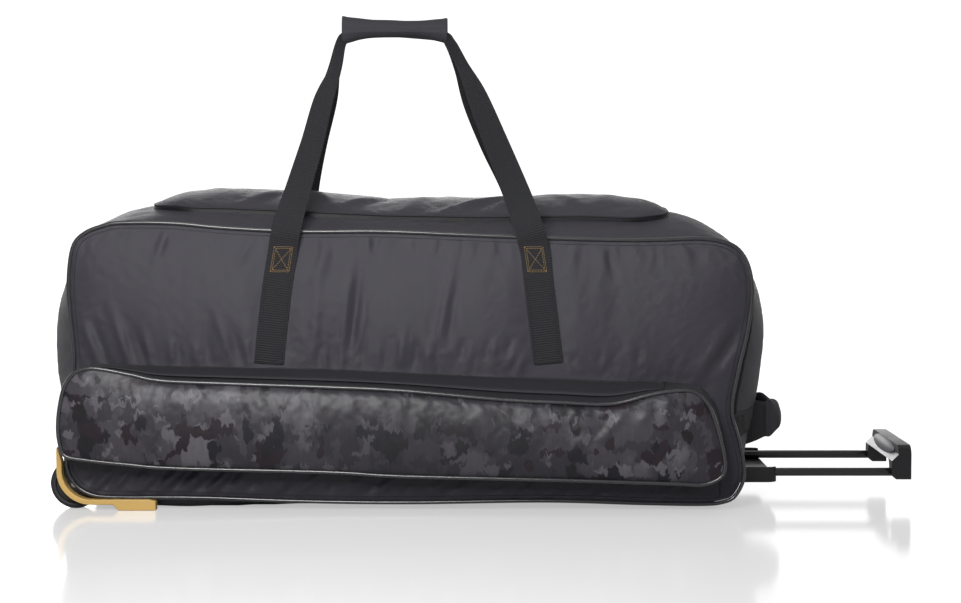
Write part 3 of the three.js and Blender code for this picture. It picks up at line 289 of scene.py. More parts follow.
def frontOf(tree, x, z, fallback, side=-1):  # where a surface's front lies behind a point of its plane
    hit = tree.ray_cast(Vector((x, side * 0.5, z)), Vector((0, -side, 0)))[0]
    return hit.y if hit else fallback


def patchNoise(points, scale, seed):  # smooth noise from -1 to 1
    shift = Vector((seed * 3.7, seed * 1.3, seed * 5.1))
    return np.array([noise.noise(Vector(p) * scale + shift) for p in points])


def patchField(x, y, z, scale, seed):  # the same noise over a grid
    points = np.stack(np.broadcast_arrays(x, y, z), axis=-1)
    return patchNoise(points.reshape(-1, 3), scale, seed).reshape(x.shape)


# Cloth simulation: held is 1 where the cloth is sewn down, slack is where it has length to spare

clothSettings = {
    "quality": 6, "mass": 0.12, "tension_stiffness": 18, "compression_stiffness": 18, "shear_stiffness": 6,
    "bending_stiffness": 0.25, "air_damping": 2, "vertex_group_mass": "held", "vertex_group_shrink": "slack",
    "use_pressure": True,
}
startJitter = 0.00025
sewnWidth = 0.004  # strip beside a seam in which the cloth comes free
# least and most length to spare, pressure from inside, frames, and how far a point may move
drapes = {
    "sideWall": {"looseness": (0.004, 0.035), "pressure": 1.2, "frames": 14, "cap": 0.006},
    "panel": {"looseness": (0.003, 0.08), "pressure": 1.5, "frames": 18, "cap": 0.008},
    "lid": {"looseness": (0.006, 0.045), "pressure": 0.9, "frames": 16, "cap": 0.0045},
    "pocketWall": {"looseness": (0.002, 0.03), "pressure": -0.6, "frames": 14, "cap": 0.004},
    "pocketPanel": {"looseness": (0.004, 0.035), "pressure": 1.5, "frames": 16, "cap": 0.005},
}


def drape(piece, held, slack, looseness, pressure, frames, cap):
    before = pointsOf(piece)
    groups = {}
    for label, weights in (("held", held), ("slack", slack)):
        group = piece.vertex_groups.new(name=label)
        for index, weight in enumerate(np.clip(np.ravel(weights), 0, 1).tolist()):
            if weight > 0:
                group.add([index], weight, "REPLACE")
        groups[label] = group
    jitter = rng.normal(0, startJitter, before.shape) * (1 - np.clip(np.ravel(held), 0, 1))[:, None]
    movePoints(piece, before + jitter)
    cloth = piece.modifiers.new("Cloth", "CLOTH")
    for key, value in clothSettings.items():
        setattr(cloth.settings, key, value)
    cloth.settings.shrink_min = -looseness[0]
    cloth.settings.shrink_max = -looseness[1]
    cloth.settings.uniform_pressure_force = pressure
    cloth.settings.effector_weights.gravity = 0
    cloth.collision_settings.use_collision = False
    cloth.point_cache.frame_start, cloth.point_cache.frame_end = 1, frames
    for frameNumber in range(1, frames + 1):
        scene.frame_set(frameNumber)
    shown = piece.evaluated_get(bpy.context.evaluated_depsgraph_get())
    after = np.empty(len(before) * 3)
    shown.data.vertices.foreach_get("co", after)
    piece.modifiers.remove(cloth)
    for group in groups.values():
        piece.vertex_groups.remove(group)
    scene.frame_set(1)
    move = after.reshape(-1, 3) - before
    length = np.linalg.norm(move, axis=1)
    move *= (np.tanh(length / cap) * cap / np.maximum(length, 1e-9))[:, None]
    movePoints(piece, before + move)
    print("draped", piece.name, "most", round(float(length.max()) * 1000, 1), "mm")
    return piece


# Materials

def addNode(tree, kind, inputs=(), **settings):
    node = tree.nodes.new(kind)
    for key, value in settings.items():
        setattr(node, key, value)
    for key, value in dict(inputs).items():
        if isinstance(value, bpy.types.NodeSocket):
            tree.links.new(value, node.inputs[key])
        else:
            node.inputs[key].default_value = value
    return node


def finish(name, color, roughness, metallic=0.0, sheen=0.0, coat=0.0, specular=0.5):
    material = bpy.data.materials.new(name)
    material.use_nodes = True
    tree = material.node_tree
    shader = tree.nodes["Principled BSDF"]
    shader.inputs["Base Color"].default_value = (*color, 1)
    shader.inputs["Roughness"].default_value = roughness
    shader.inputs["Metallic"].default_value = metallic
    shader.inputs["Sheen Weight"].default_value = sheen
    shader.inputs["Sheen Roughness"].default_value = 0.4
    shader.inputs["Specular IOR Level"].default_value = specular
    shader.inputs["Coat Weight"].default_value = coat
    shader.inputs["Coat Roughness"].default_value = 0.25
    material.diffuse_color = (*color, 1)
    return material, tree, shader


def maths(tree, operation, a, b=0.0):
    return addNode(tree, "ShaderNodeMath", {0: a, 1: b}, operation=operation).outputs[0]


def tint(tree, color, value, amount):  # lighter and darker by a value round 0.5
    shade = maths(tree, "MULTIPLY_ADD", value, amount)
    tree.nodes[-1].inputs[2].default_value = 1 - amount / 2
    mixed = addNode(tree, "ShaderNodeMix", {"Factor": 1.0}, data_type="RGBA", blend_type="MULTIPLY")
    if isinstance(color, bpy.types.NodeSocket):
        tree.links.new(color, mixed.inputs["A"])
    else:
        mixed.inputs[6].default_value = (*color, 1)
    tree.links.new(shade, mixed.inputs[7])
    return mixed.outputs[2]


def noiseOf(tree, vector, scale, detail, output="Fac", **more):
    return addNode(tree, "ShaderNodeTexNoise",
                   {"Vector": vector, "Scale": scale, "Detail": detail, **more}).outputs[output]


def clothUv(tree):
    return addNode(tree, "ShaderNodeUVMap", uv_map="cloth").outputs["UV"]


def mapped(tree, value, source=(0, 1), target=(0, 1)):  # a value moved from one range to another
    inputs = {"From Min": source[0], "From Max": source[1], "To Min": target[0], "To Max": target[1]}
    return addNode(tree, "ShaderNodeMapRange", {"Value": value, **inputs}).outputs["Result"]


def addBump(tree, shader, strength, distance, height):
    bump = addNode(tree, "ShaderNodeBump", {"Strength": strength, "Distance": distance, "Height": height})
    tree.links.new(bump.outputs["Normal"], shader.inputs["Normal"])


def varyRoughness(tree, shader, value, least, most):
    tree.links.new(mapped(tree, value, target=(least, most)), shader.inputs["Roughness"])


weave = {"thread": 0.0011, "height": 0.00010}


def clothFinish(name, color, roughness, sheen, thread=1.0, height=1.0, variation=0.25):
    material, tree, shader = finish(name, color, roughness, sheen=sheen, specular=0.3)
    uv = clothUv(tree)
    split = addNode(tree, "ShaderNodeSeparateXYZ", {0: uv})
    turns = 2 * math.pi / (weave["thread"] * thread)
    warp = maths(tree, "SINE", maths(tree, "MULTIPLY", split.outputs[0], turns))
    weft = maths(tree, "SINE", maths(tree, "MULTIPLY", split.outputs[1], turns))
    crossed = maths(tree, "MULTIPLY", warp, weft)
    slub = noiseOf(tree, uv, 420.0, 3.0)
    relief = maths(tree, "ADD", crossed, maths(tree, "MULTIPLY", slub, 1.6))
    addBump(tree, shader, 0.6, weave["height"] * height, relief)
    broad = noiseOf(tree, uv, 9.0, 5.0, Roughness=0.6)
    mottled = maths(tree, "ADD", maths(tree, "MULTIPLY", broad, 0.6), maths(tree, "MULTIPLY", slub, 0.4))
    tree.links.new(tint(tree, color, mottled, variation), shader.inputs["Base Color"])
    varyRoughness(tree, shader, broad, roughness - 0.07, roughness + 0.07)
    return material


bodyCloth = clothFinish("charcoal cloth", (0.046, 0.043, 0.055), 0.38, 0.04)
trimCloth = clothFinish("dark trim", (0.026, 0.025, 0.030), 0.52, 0.05)
gripCloth = clothFinish("grip wrap", (0.046, 0.044, 0.052), 0.6, 0.1, thread=0.8)


def camoFinish():
    look = {
        "dark": (0.012, 0.011, 0.014),
        "plum": (0.020, 0.013, 0.018),
        "mid": (0.034, 0.031, 0.038),
        "grey": (0.054, 0.050, 0.060),
        "light": (0.105, 0.098, 0.114),
        # flat darker tone of the pocket's middle, where the painted sheen is weakest
        "sheenlessTone": (0.025, 0.023, 0.028),
    }
    # tone, offset, patch scale, level, height of a patch over its width, blur of its edge
    layers = [
        ("grey", 0, 12, 0.47, 1.1, 0.05), ("light", 7, 15, 0.55, 1.2, 0.06),
        ("mid", 3, 24, 0.54, 1.0, 0.02), ("grey", 12, 36, 0.57, 0.9, 0.02),
        ("dark", 17, 26, 0.585, 1.1, 0.012), ("plum", 23, 30, 0.60, 1.0, 0.012),
        ("light", 31, 40, 0.64, 0.9, 0.02),
    ]
    material, tree, shader = finish("patterned satin", look["mid"], 0.40, sheen=0.05, specular=0.35)
    uv = clothUv(tree)
    teeth = addNode(tree, "ShaderNodeMapping", {"Vector": uv, "Scale": (1, 0.4, 1)}).outputs[0]
    ragged = noiseOf(tree, teeth, 210.0, 3.0, "Color")
    shift = addNode(
        tree, "ShaderNodeVectorMath", {0: ragged, 1: (0.5, 0.5, 0.5)}, operation="SUBTRACT",
    ).outputs[0]
    step = addNode(tree, "ShaderNodeVectorMath", {0: shift, 1: (0.010, 0.026, 0)},
                   operation="MULTIPLY").outputs[0]
    torn = addNode(tree, "ShaderNodeVectorMath", {0: uv, 1: step}, operation="ADD").outputs[0]

    def blend(share, under, over):
        mix = addNode(tree, "ShaderNodeMix", {"Factor": share}, data_type="RGBA")
        for socket, value in ((mix.inputs[6], under), (mix.inputs[7], over)):
            if isinstance(value, tuple):
                socket.default_value = (*value, 1)
            else:
                tree.links.new(value, socket)
        return mix.outputs[2]

    tone = look["mid"]
    for label, offset, scale, level, tall, blur in layers:
        moved = addNode(
            tree, "ShaderNodeMapping",
            {"Vector": torn, "Location": (offset * 0.31, offset * 0.17, 0), "Scale": (1, 1 / tall, 1)},
        ).outputs[0]
        patch = noiseOf(tree, moved, float(scale), 1.5, Roughness=0.5)
        mask = mapped(tree, patch, (level, level + blur))
        tone = blend(mask, tone, look[label])
    sheenlessMiddle, paintedSheenReach, sheenlessShare = 0.02, (0.06, 0.26), 0.5  # painted sheen: along the pocket the pattern keeps its full contrast towards both ends and fades to a flat, darker tone in the middle
    split = addNode(tree, "ShaderNodeSeparateXYZ", {0: uv})
    away = maths(tree, "ABSOLUTE", maths(tree, "SUBTRACT", split.outputs[0], sheenlessMiddle))
    paintedSheen = mapped(tree, away, paintedSheenReach, (sheenlessShare, 1.0))
    # painted sheen: the full pattern towards the ends of the pocket, the flat darker tone in its middle
    tone = blend(paintedSheen, look["sheenlessTone"], tone)
    streaks = addNode(tree, "ShaderNodeMapping", {"Vector": uv, "Scale": (1, 0.06, 1)}).outputs[0]
    thread = noiseOf(tree, streaks, 420.0, 3.0)
    tree.links.new(tint(tree, tone, thread, 0.45), shader.inputs["Base Color"])
    weaveFine = noiseOf(tree, uv, 700.0, 2.0)
    addBump(tree, shader, 0.35, 0.0002, weaveFine)
    return material


def webbingFinish(name, color, rib):
    material, tree, shader = finish(name, color, 0.62, sheen=0.08, specular=0.25)
    uv = clothUv(tree)
    split = addNode(tree, "ShaderNodeSeparateXYZ", {0: uv})
    wobble = noiseOf(tree, uv, 160.0, 2.0)
    along = maths(tree, "ADD", maths(tree, "MULTIPLY", split.outputs[1], 2 * math.pi / rib),
                  maths(tree, "MULTIPLY", wobble, 2.2))
    ribs = maths(tree, "SINE", along)
    cords = maths(tree, "SINE", maths(tree, "MULTIPLY", split.outputs[0], 2 * math.pi / (rib * 0.6)))
    relief = maths(tree, "ADD", ribs, maths(tree, "MULTIPLY", cords, 0.5))
    addBump(tree, shader, 0.8, 0.00035, relief)
    # painted shade: the colour follows the ribs, darker in the grooves between them and lighter on their
    # crests
    half = maths(tree, "MULTIPLY_ADD", ribs, 0.35)
    tree.nodes[-1].inputs[2].default_value = 0.5
    tree.links.new(tint(tree, color, half, 0.7), shader.inputs["Base Color"])
    return material


def mouldedFinish(name, color, roughness, grain=0.00012, metallic=0.0, coat=0.0, variation=0.12):
    material, tree, shader = finish(name, color, roughness, metallic, coat=coat)
    place = addNode(tree, "ShaderNodeTexCoord").outputs["Object"]
    fine = noiseOf(tree, place, 900.0, 2.0)
    broad = noiseOf(tree, place, 30.0, 4.0)
    addBump(tree, shader, 0.4, grain, fine)
    tree.links.new(tint(tree, color, broad, variation), shader.inputs["Base Color"])
    varyRoughness(tree, shader, broad, roughness - 0.06, roughness + 0.08)
    return material


camoCloth = camoFinish()
webbing = webbingFinish("ribbed webbing", (0.026, 0.026, 0.030), 0.0030)
pipingCoat = mouldedFinish("coated piping", (0.030, 0.029, 0.033), 0.20, coat=1.0)
threadDark = mouldedFinish("dark thread", (0.016, 0.016, 0.018), 0.6)
threadGold = mouldedFinish("gold thread", (0.36, 0.23, 0.10), 0.5)
goldPlastic = mouldedFinish("golden plastic", (0.74, 0.48, 0.15), 0.38, coat=0.15)
blackPlastic = mouldedFinish("black plastic", (0.011, 0.011, 0.013), 0.30, coat=0.2)
greyRubber = mouldedFinish("grey pad", (0.24, 0.24, 0.26), 0.42)
wheelRubber = mouldedFinish("wheel rubber", (0.022, 0.022, 0.026), 0.55)
blackMetal = mouldedFinish("black lacquer", (0.010, 0.010, 0.012), 0.16, grain=0.00001, coat=1.0)
steel = mouldedFinish("plain steel", (0.40, 0.40, 0.42), 0.3, grain=0.00002, metallic=1.0)
print("materials made")


# Body: the side wall that runs round the bag, with swelling ends and a crowned top

bodyGrid = {"up": 72, "across": 180, "stations": 45}
counts = [bodyGrid["up"], bodyGrid["across"]] * 2
seam = evenSides(seamRows, seamCorners, counts, (halfLength, bag["height"]))
seamLine = seam[:, :2] * (halfLength, bag["height"])
swollenLine = np.stack([
    seamLine[:, 0] + seam[:, 2] * bag["endBulge"],
    (seamLine[:, 1] + seam[:, 3] * bag["crownRise"]) * (1 - np.clip(seam[:, 4], 0, 1)),
], axis=1)
swellRun = np.clip(seam[:, 5], 0.1, 1)


def swelling(station, run):
    inwards = np.clip((1 - np.abs(station)) / run, 0, 1)
    return 1 - (1 - inwards) ** (1 + bag["roundness"] * run * run)


def topHeight(x, y):
    rows = np.array(seamRows[8:21])
    up = np.interp(x / halfLength, rows[:, 0], rows[:, 1])
    rise = np.interp(x / halfLength, rows[:, 0], rows[:, 3])
    return up * bag["height"] + rise * bag["crownRise"] * swelling(y / halfDepth, 1.0)


lidSize = {
    "length": 0.682, "width": 0.250, "corner": 0.062, "lift": 0.009, "rounding": 0.003, "slope": 0.02,
    "sink": 0.002,
}


# where the side wall can't move: at its seams, at the floor, under the lid, at the wheels and at the tray
sideWallHold = {
    "seamShare": 0.02, "floor": 0.02, "floorFade": 0.006, "lidFade": 0.008, "lidAbove": 0.2,
    "wheelX": -0.385, "wheelTop": 0.085, "wheelIn": 0.125, "trayX": 0.38, "trayTop": 0.06,
}


def makeSideWall():
    stations = np.sin(np.linspace(-1, 1, bodyGrid["stations"]) * math.pi / 2)
    share = swelling(stations[None, :], swellRun[:, None])[..., None]
    flat = seamLine[:, None] * (1 - share) + swollenLine[:, None] * share
    depth = np.broadcast_to(stations * halfDepth, flat.shape[:2])
    points = np.stack([flat[..., 0], depth, np.maximum(flat[..., 1], 0)], axis=-1)
    around = walkedAlong(seamLine)
    uv = np.stack(np.broadcast_arrays(around[:, None], stations * halfDepth), axis=-1)
    faces = gridFaces(*points.shape[:2], closed=True)
    piece = makePiece("bodySideWall", points, faces, bodyCloth, uv=uv)
    x, y, z = np.moveaxis(points, -1, 0)
    edge = np.broadcast_to(1 - np.abs(stations), x.shape)
    fromLid = np.hypot(
        np.maximum(np.abs(x) - lidSize["length"] / 2, 0), np.maximum(np.abs(y) - lidSize["width"] / 2, 0),
    )
    hold = sideWallHold
    held = np.maximum.reduce([
        1 - edge / hold["seamShare"],
        (hold["floor"] - z) / hold["floorFade"],
        1 - (fromLid / hold["lidFade"]) - (z < hold["lidAbove"]) * 9,
        ((x < hold["wheelX"]) & (z < hold["wheelTop"]) & (np.abs(y) > hold["wheelIn"])) * 1.0,
        ((x > hold["trayX"]) & (z < hold["trayTop"])) * 1.0,
    ])
    gathers = patchNoise(points.reshape(-1, 3) * (1, 0.4, 1), 14, 3).reshape(x.shape)
    slack = np.clip(0.35 + 0.9 * gathers, 0, 1) * np.clip(1.2 - edge * 1.4, 0.25, 1)
    drape(piece, held, slack, **drapes["sideWall"])
    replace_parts(piece, "body_shell")
    return piece


sideWall = makeSideWall()
print("side wall made")

# Course of a carry strap, first its left leg upwards, as in the model:
# up, left, right, rearLeft, rearRight, back, twist, narrow, fold
strapSize = {"width": 0.038, "thickness": 0.002, "spread": 0.358, "top": 0.626}
gripSize = {"length": 0.143, "shift": -0.024, "height": 0.037, "thickness": 0.024}
strapRows = [
    (0.303, 0, 0, 0, 0, 0, 0, 1, 1), (0.39, 0.07, 0.05, 0.03, 0.03, 0, 0, 1, 1),
    (0.475, 0.15, 0.1, 0.06, 0.07, 0, 0, 1, 1), (0.53, 0.22, 0.13, 0.1, 0.11, -0.014, 2, 1, 1),
    (0.585, 0.29, 0.2, 0.15, 0.18, -0.042, 8, 1, 1), (0.666, 0.43, 0.335, 0.28, 0.33, 0.2, 26, 1, 1),
    (0.757, 0.6, 0.51, 0.46, 0.55, 0.44, 34, 1, 1), (0.85, 0.745, 0.69, 0.69, 0.75, 0.68, 36, 0.88, 1.1),
    (0.92, 0.92, 0.84, 0.85, 0.875, 0.86, 30, 0.47, 1.8),
    (0.972, 0.985, 0.97, 0.975, 0.975, 0.965, 12, 0.38, 2.6),
    (0.988, 1.1, 1.07, 1.1, 1.07, 0.982, 0, 0.38, 2.5), (0.998, 1.5, 1.5, 1.5, 1.5, 0.982, 0, 0.42, 2.2),
]


def strapMiddle(z, side, rear=False):  # x of a strap's middle line at a height
    rows = np.array(strapRows)
    inwards = np.interp(z / strapSize["top"], rows[:, 0],
                        rows[:, (1 if side < 0 else 2) + (2 if rear else 0)])
    start = side * strapSize["spread"] / 2
    end = gripSize["shift"] + side * gripSize["length"] / 2
    return start + (end - start) * inwards


# Pocket: its outer edge and its seam on the front panel: along, up, seamAlong, seamUp
pocket = {
    "length": 0.843, "height": 0.148, "depth": 0.050, "foot": 0.040, "shift": -0.0205,
    "swell": 0.009, "up": 26, "across": 170,
}
pocketRows = [
    (-0.981, 0.25, -0.95, 0.23), (-0.998, 0.372, -0.957, 0.372), (-1.001, 0.531, -0.96, 0.53),
    (-0.993, 0.709, -0.955, 0.716), (-0.979, 0.851, -0.95, 0.865), (-0.953, 0.953, -0.938, 0.96),
    (-0.912, 1, -0.91, 1), (-0.865, 0.993, -0.865, 1.005), (-0.781, 0.947, -0.781, 1.005),
    (-0.691, 0.896, -0.691, 1.005), (-0.497, 0.871, -0.497, 1), (-0.188, 0.84, -0.188, 0.983),
    (0.027, 0.811, 0.03, 0.953), (0.325, 0.735, 0.328, 0.93), (0.504, 0.709, 0.508, 0.915),
    (0.656, 0.696, 0.66, 0.892), (0.772, 0.773, 0.785, 0.874), (0.838, 0.805, 0.856, 0.858),
    (0.903, 0.807, 0.934, 0.821), (0.941, 0.723, 0.967, 0.736), (0.964, 0.608, 0.991, 0.622),
    (0.987, 0.395, 1.012, 0.372), (1.002, 0.176, 1.019, 0.155), (0.988, 0.061, 1.005, 0.041),
    (0.934, 0, 0.95, 0), (0.855, 0.007, 0.86, 0.01), (0.504, 0.039, 0.504, 0.045),
    (0.027, 0.073, 0.03, 0.08), (-0.188, 0.107, -0.188, 0.107), (-0.647, 0.141, -0.647, 0.141),
    (-0.796, 0.174, -0.796, 0.174), (-0.924, 0.213, -0.918, 0.2),
]
pocketCorners = [0, 5, 18, 23, 32]
pocketCounts = [pocket["up"], pocket["across"]] * 2
pocketTable = evenSides(pocketRows, pocketCorners, pocketCounts, (pocket["length"] / 2, pocket["height"]))


def pocketPlace(columns):
    return columns * (pocket["length"] / 2, pocket["height"]) + (pocket["shift"], pocket["foot"])


pocketEdge = pocketPlace(pocketTable[:, :2])
pocketSeam = pocketPlace(pocketTable[:, 2:])
pocketFront = -halfDepth - pocket["depth"]


def outlineDistance(points, outline):  # distance to a closed outline, negative inside it
    flat = points.reshape(-1, 2)
    away = np.full(len(flat), 9.0)
    inside = np.zeros(len(flat), bool)
    for a, b in zip(outline, np.roll(outline, -1, axis=0)):
        edge = b - a
        share = np.clip(((flat - a) @ edge) / max(edge @ edge, 1e-12), 0, 1)
        away = np.minimum(away, np.linalg.norm(flat - a - share[:, None] * edge, axis=1))
        crosses = (a[1] > flat[:, 1]) != (b[1] > flat[:, 1])
        at = a[0] + (flat[:, 1] - a[1]) * edge[0] / (edge[1] if abs(edge[1]) > 1e-9 else 1e-9)
        inside ^= crosses & (flat[:, 0] < at)
    return np.where(inside, -away, away).reshape(points.shape[:-1])


# Panels, front and back

panelLook = {
    "creaseFade": 0.012, "sewnLow": 0.17, "sewnHigh": 0.345, "gatherAbove": 0.2, "gatherReach": 0.035,
    "pocketReach": 0.04,
}


def makePanel(name, side):
    grid, u, w = fillOutline(seamLine, bodyGrid["up"], bodyGrid["across"])
    x, z = grid[..., 0], grid[..., 1]
    folds = foldDepth(panelFolds, x, z, halfLength, bag["height"])
    fine = frontCreases + gatherRows(frontGathers) if side < 0 else gatherRows(backGathers)
    creases = foldDepth(fine, x, z, halfLength, bag["height"])
    inside = (1 - (2 * u - 1) ** 6) * (1 - (2 * w - 1) ** 4)
    border = outlineDistance(grid, seamLine)
    edge = np.clip(-border / panelLook["creaseFade"], 0, 1)
    bulge = bag["panelSwell"] * (inside * (1 + folds) + bag["creasing"] * creases * edge)
    points = np.stack([x, side * (halfDepth + bulge), z], axis=-1)
    faces = gridFaces(*x.shape, turned=side > 0)
    piece = makePiece(name, points, faces, bodyCloth, uv=grid)
    low, high = panelLook["sewnLow"], panelLook["sewnHigh"]
    sewn = np.full(x.shape, 9.0)
    for leg in (-1, 1):
        strap = np.abs(x - strapMiddle(z, leg, side > 0)) - strapSize["width"] / 2
        sewn = np.minimum(sewn, np.where((z > low) & (z < high), np.maximum(strap, 0), 9))
    held = np.maximum(1 + border / sewnWidth, 1 - sewn / sewnWidth)
    topGather = np.exp(-np.clip(-border, 0, 1) / panelLook["gatherReach"]) * (z > panelLook["gatherAbove"])
    slack = 0.35 + 0.65 * topGather
    if side < 0:
        away = outlineDistance(grid, pocketSeam)
        held = np.maximum(held, 1 - np.clip(away, 0, 1) / sewnWidth)
        slack += 0.5 * np.exp(-np.clip(away, 0, 1) / panelLook["pocketReach"])
    clusters = patchField(x, z * 0.35, side, 16, 5)
    slack = np.clip(slack * (0.55 + 0.9 * clusters), 0, 1)
    drape(piece, held, slack, **drapes["panel"])
    return subdivide(piece)


frontPanel = makePanel("frontPanel", -1)
backPanel = makePanel("backPanel", 1)
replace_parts(frontPanel, "body_shell")
frontSurface = surfaceOf(frontPanel)
backSurface = surfaceOf(backPanel)
print("panels made")


# Piping: a rolled edge along an outline, with its stitched run beside it

def makeTube(name, path, radius, material, body="bag", closed=True, sides=8, flatten=1.0):
    path = np.asarray(path, float)
    ahead = unit(np.roll(path, -1, axis=0) - np.roll(path, 1, axis=0)
                 if closed else np.gradient(path, axis=0))
    across = np.cross(ahead, (0.0, 1.0, 0.0))
    across /= np.maximum(np.linalg.norm(across, axis=1), 1e-9)[:, None]
    out = np.cross(across, ahead)
    turn = np.linspace(0, 2 * math.pi, sides, endpoint=False)
    rings = path[:, None] + radius * (
        across[:, None] * np.cos(turn)[None, :, None] + flatten * out[:, None] * np.sin(turn)[None, :, None]
    )
    size = len(path)
    a = np.arange(size if closed else size - 1)
    faces = []
    for i in a:
        j = (i + 1) % size
        faces += [[i * sides + k, i * sides + (k + 1) % sides, j * sides + (k + 1) % sides,
                   j * sides + k] for k in range(sides)]
    if not closed:
        faces += [list(range(sides))[::-1], list(range((size - 1) * sides, size * sides))]
    return makePiece(name, rings, faces, material, body)


def bodyPiping(name, side):
    line = seamLine + normalsOf(seamLine) * (pipingReach * bag["pipingStand"])
    y = side * (halfDepth + pipingReach * bag["pipingForward"])
    path = np.stack([line[:, 0], np.full(len(line), y), line[:, 1]], axis=1)
    return makeTube(name, path, bag["pipingRadius"], pipingCoat)


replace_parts(bodyPiping("frontPiping", -1), "front_piping")
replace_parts(bodyPiping("backPiping", 1), "back_piping")


# Stitches: short rounded threads along a path that lies on a surface

def makeStitches(name, runs, material, length=0.0026, pitch=0.0038, radius=0.00035):
    points, faces = [], []
    for run, normal in runs:
        run = np.asarray(run, float)
        walked = walkedAlong(run)
        starts = np.arange(0, walked[-1] - length, pitch)
        for a, b in zip(pointsAlong(run, walked, starts), pointsAlong(run, walked, starts + length)):
            ahead = (b - a) / max(np.linalg.norm(b - a), 1e-9)
            side = np.cross(ahead, normal)
            side /= max(np.linalg.norm(side), 1e-9)
            up = np.cross(side, ahead)
            first = len(points)
            for share, high in ((0.0, 0.3), (0.25, 1.0), (0.75, 1.0), (1.0, 0.3)):
                middle = a + (b - a) * share
                points += [middle - side * radius, middle + up * radius * 1.3 * high,
                           middle + side * radius, middle - up * radius]
            for s in range(3):
                for k in range(4):
                    i, j = first + s * 4 + k, first + s * 4 + (k + 1) % 4
                    faces.append([i, j, j + 4, i + 4])
            faces += [[first + 3, first + 2, first + 1, first],
                      [first + 12, first + 13, first + 14, first + 15]]
    return makePiece(name, points, faces, material)


def stretch(a, b, count):  # points of a straight run
    way = np.linspace(0, 1, count)[:, None]
    return np.array(a) * (1 - way) + np.array(b) * way


# points of the front plane laid on a surface behind them
def frontLine(tree, places, side=-1, stand=0.0004):
    return np.array([(x, frontOf(tree, x, z, side * halfDepth, side) + side * stand, z) for x, z in places])


def insetRun(outline, inset, count=900):  # an even closed run inside an outline
    line = outline - normalsOf(outline) * inset
    line = np.vstack([line, line[:1]])
    walked = walkedAlong(line)
    even = np.linspace(0, walked[-1], count)
    return pointsAlong(line, walked, even)


lowSeam = {"x": 0.401, "low": 0.018, "high": 0.040, "radius": 0.0008}
lowRun = [(lowSeam["x"], z) for z in np.linspace(lowSeam["low"], lowSeam["high"], 12)]
makeTube("lowSeam", frontLine(frontSurface, lowRun, -1, 0.0001), lowSeam["radius"], trimCloth,
         closed=False)
for label, side, tree in (("front", -1, frontSurface), ("back", 1, backSurface)):
    run = frontLine(tree, insetRun(seamLine, 0.0045), side)
    makeStitches(label + "SeamStitches", [(run, np.array((0, side, 0.0)))], threadDark)


# Lid: a crowned panel on a raised band with the zip

# rounded rectangle, clockwise from the middle of its front left corner
def planOutline(length, width, corner, up, across):
    x, y = length / 2 - corner, width / 2 - corner
    centres = [(-x, -y), (-x, y), (x, y), (x, -y)]
    path = []
    for side, (cx, cy) in enumerate(centres):
        outwards = math.pi - side * math.pi / 2
        nx, ny = centres[(side + 1) % 4]
        turn = np.linspace(math.pi / 4, 0, 40)
        first = [(cx + corner * math.cos(outwards + t), cy + corner * math.sin(outwards + t)) for t in turn]
        last = [(nx + corner * math.cos(outwards - t), ny + corner * math.sin(outwards - t))
                for t in turn[::-1]]
        line = np.array(first + last)
        walked = walkedAlong(line)
        even = np.linspace(0, walked[-1], (up, across)[side % 2], endpoint=False)
        path.append(pointsAlong(line, walked, even))
    return np.vstack(path)


# Folds of the lid: x, y, lean in degrees, half length, half width and height in metres
lidFolds = [
    (-0.198, -0.070, 28, 0.050, 0.010, 0.0030), (-0.180, -0.065, 28, 0.045, 0.009, -0.0022),
    (-0.120, -0.050, -20, 0.060, 0.012, 0.0025), (-0.073, -0.070, 35, 0.045, 0.011, 0.0032),
    (-0.050, -0.060, 35, 0.045, 0.009, -0.0024), (0.010, -0.040, 12, 0.060, 0.012, 0.0022),
    (0.085, -0.060, 42, 0.070, 0.010, 0.0034), (0.110, -0.055, 42, 0.060, 0.009, -0.0024),
    (0.210, -0.060, -25, 0.055, 0.011, 0.0028), (0.262, -0.020, 15, 0.060, 0.013, 0.0022),
    (-0.270, 0.030, -15, 0.060, 0.014, 0.0026), (-0.140, 0.050, 22, 0.060, 0.012, -0.0022),
    (0.040, 0.060, -18, 0.060, 0.012, 0.0028), (0.170, 0.050, 24, 0.055, 0.012, -0.0022),
]


zipTeeth = {"pitch": 0.0022, "half": (0.0007, 0.0022, 0.0009), "stand": 0.0006, "piping": 0.0014}


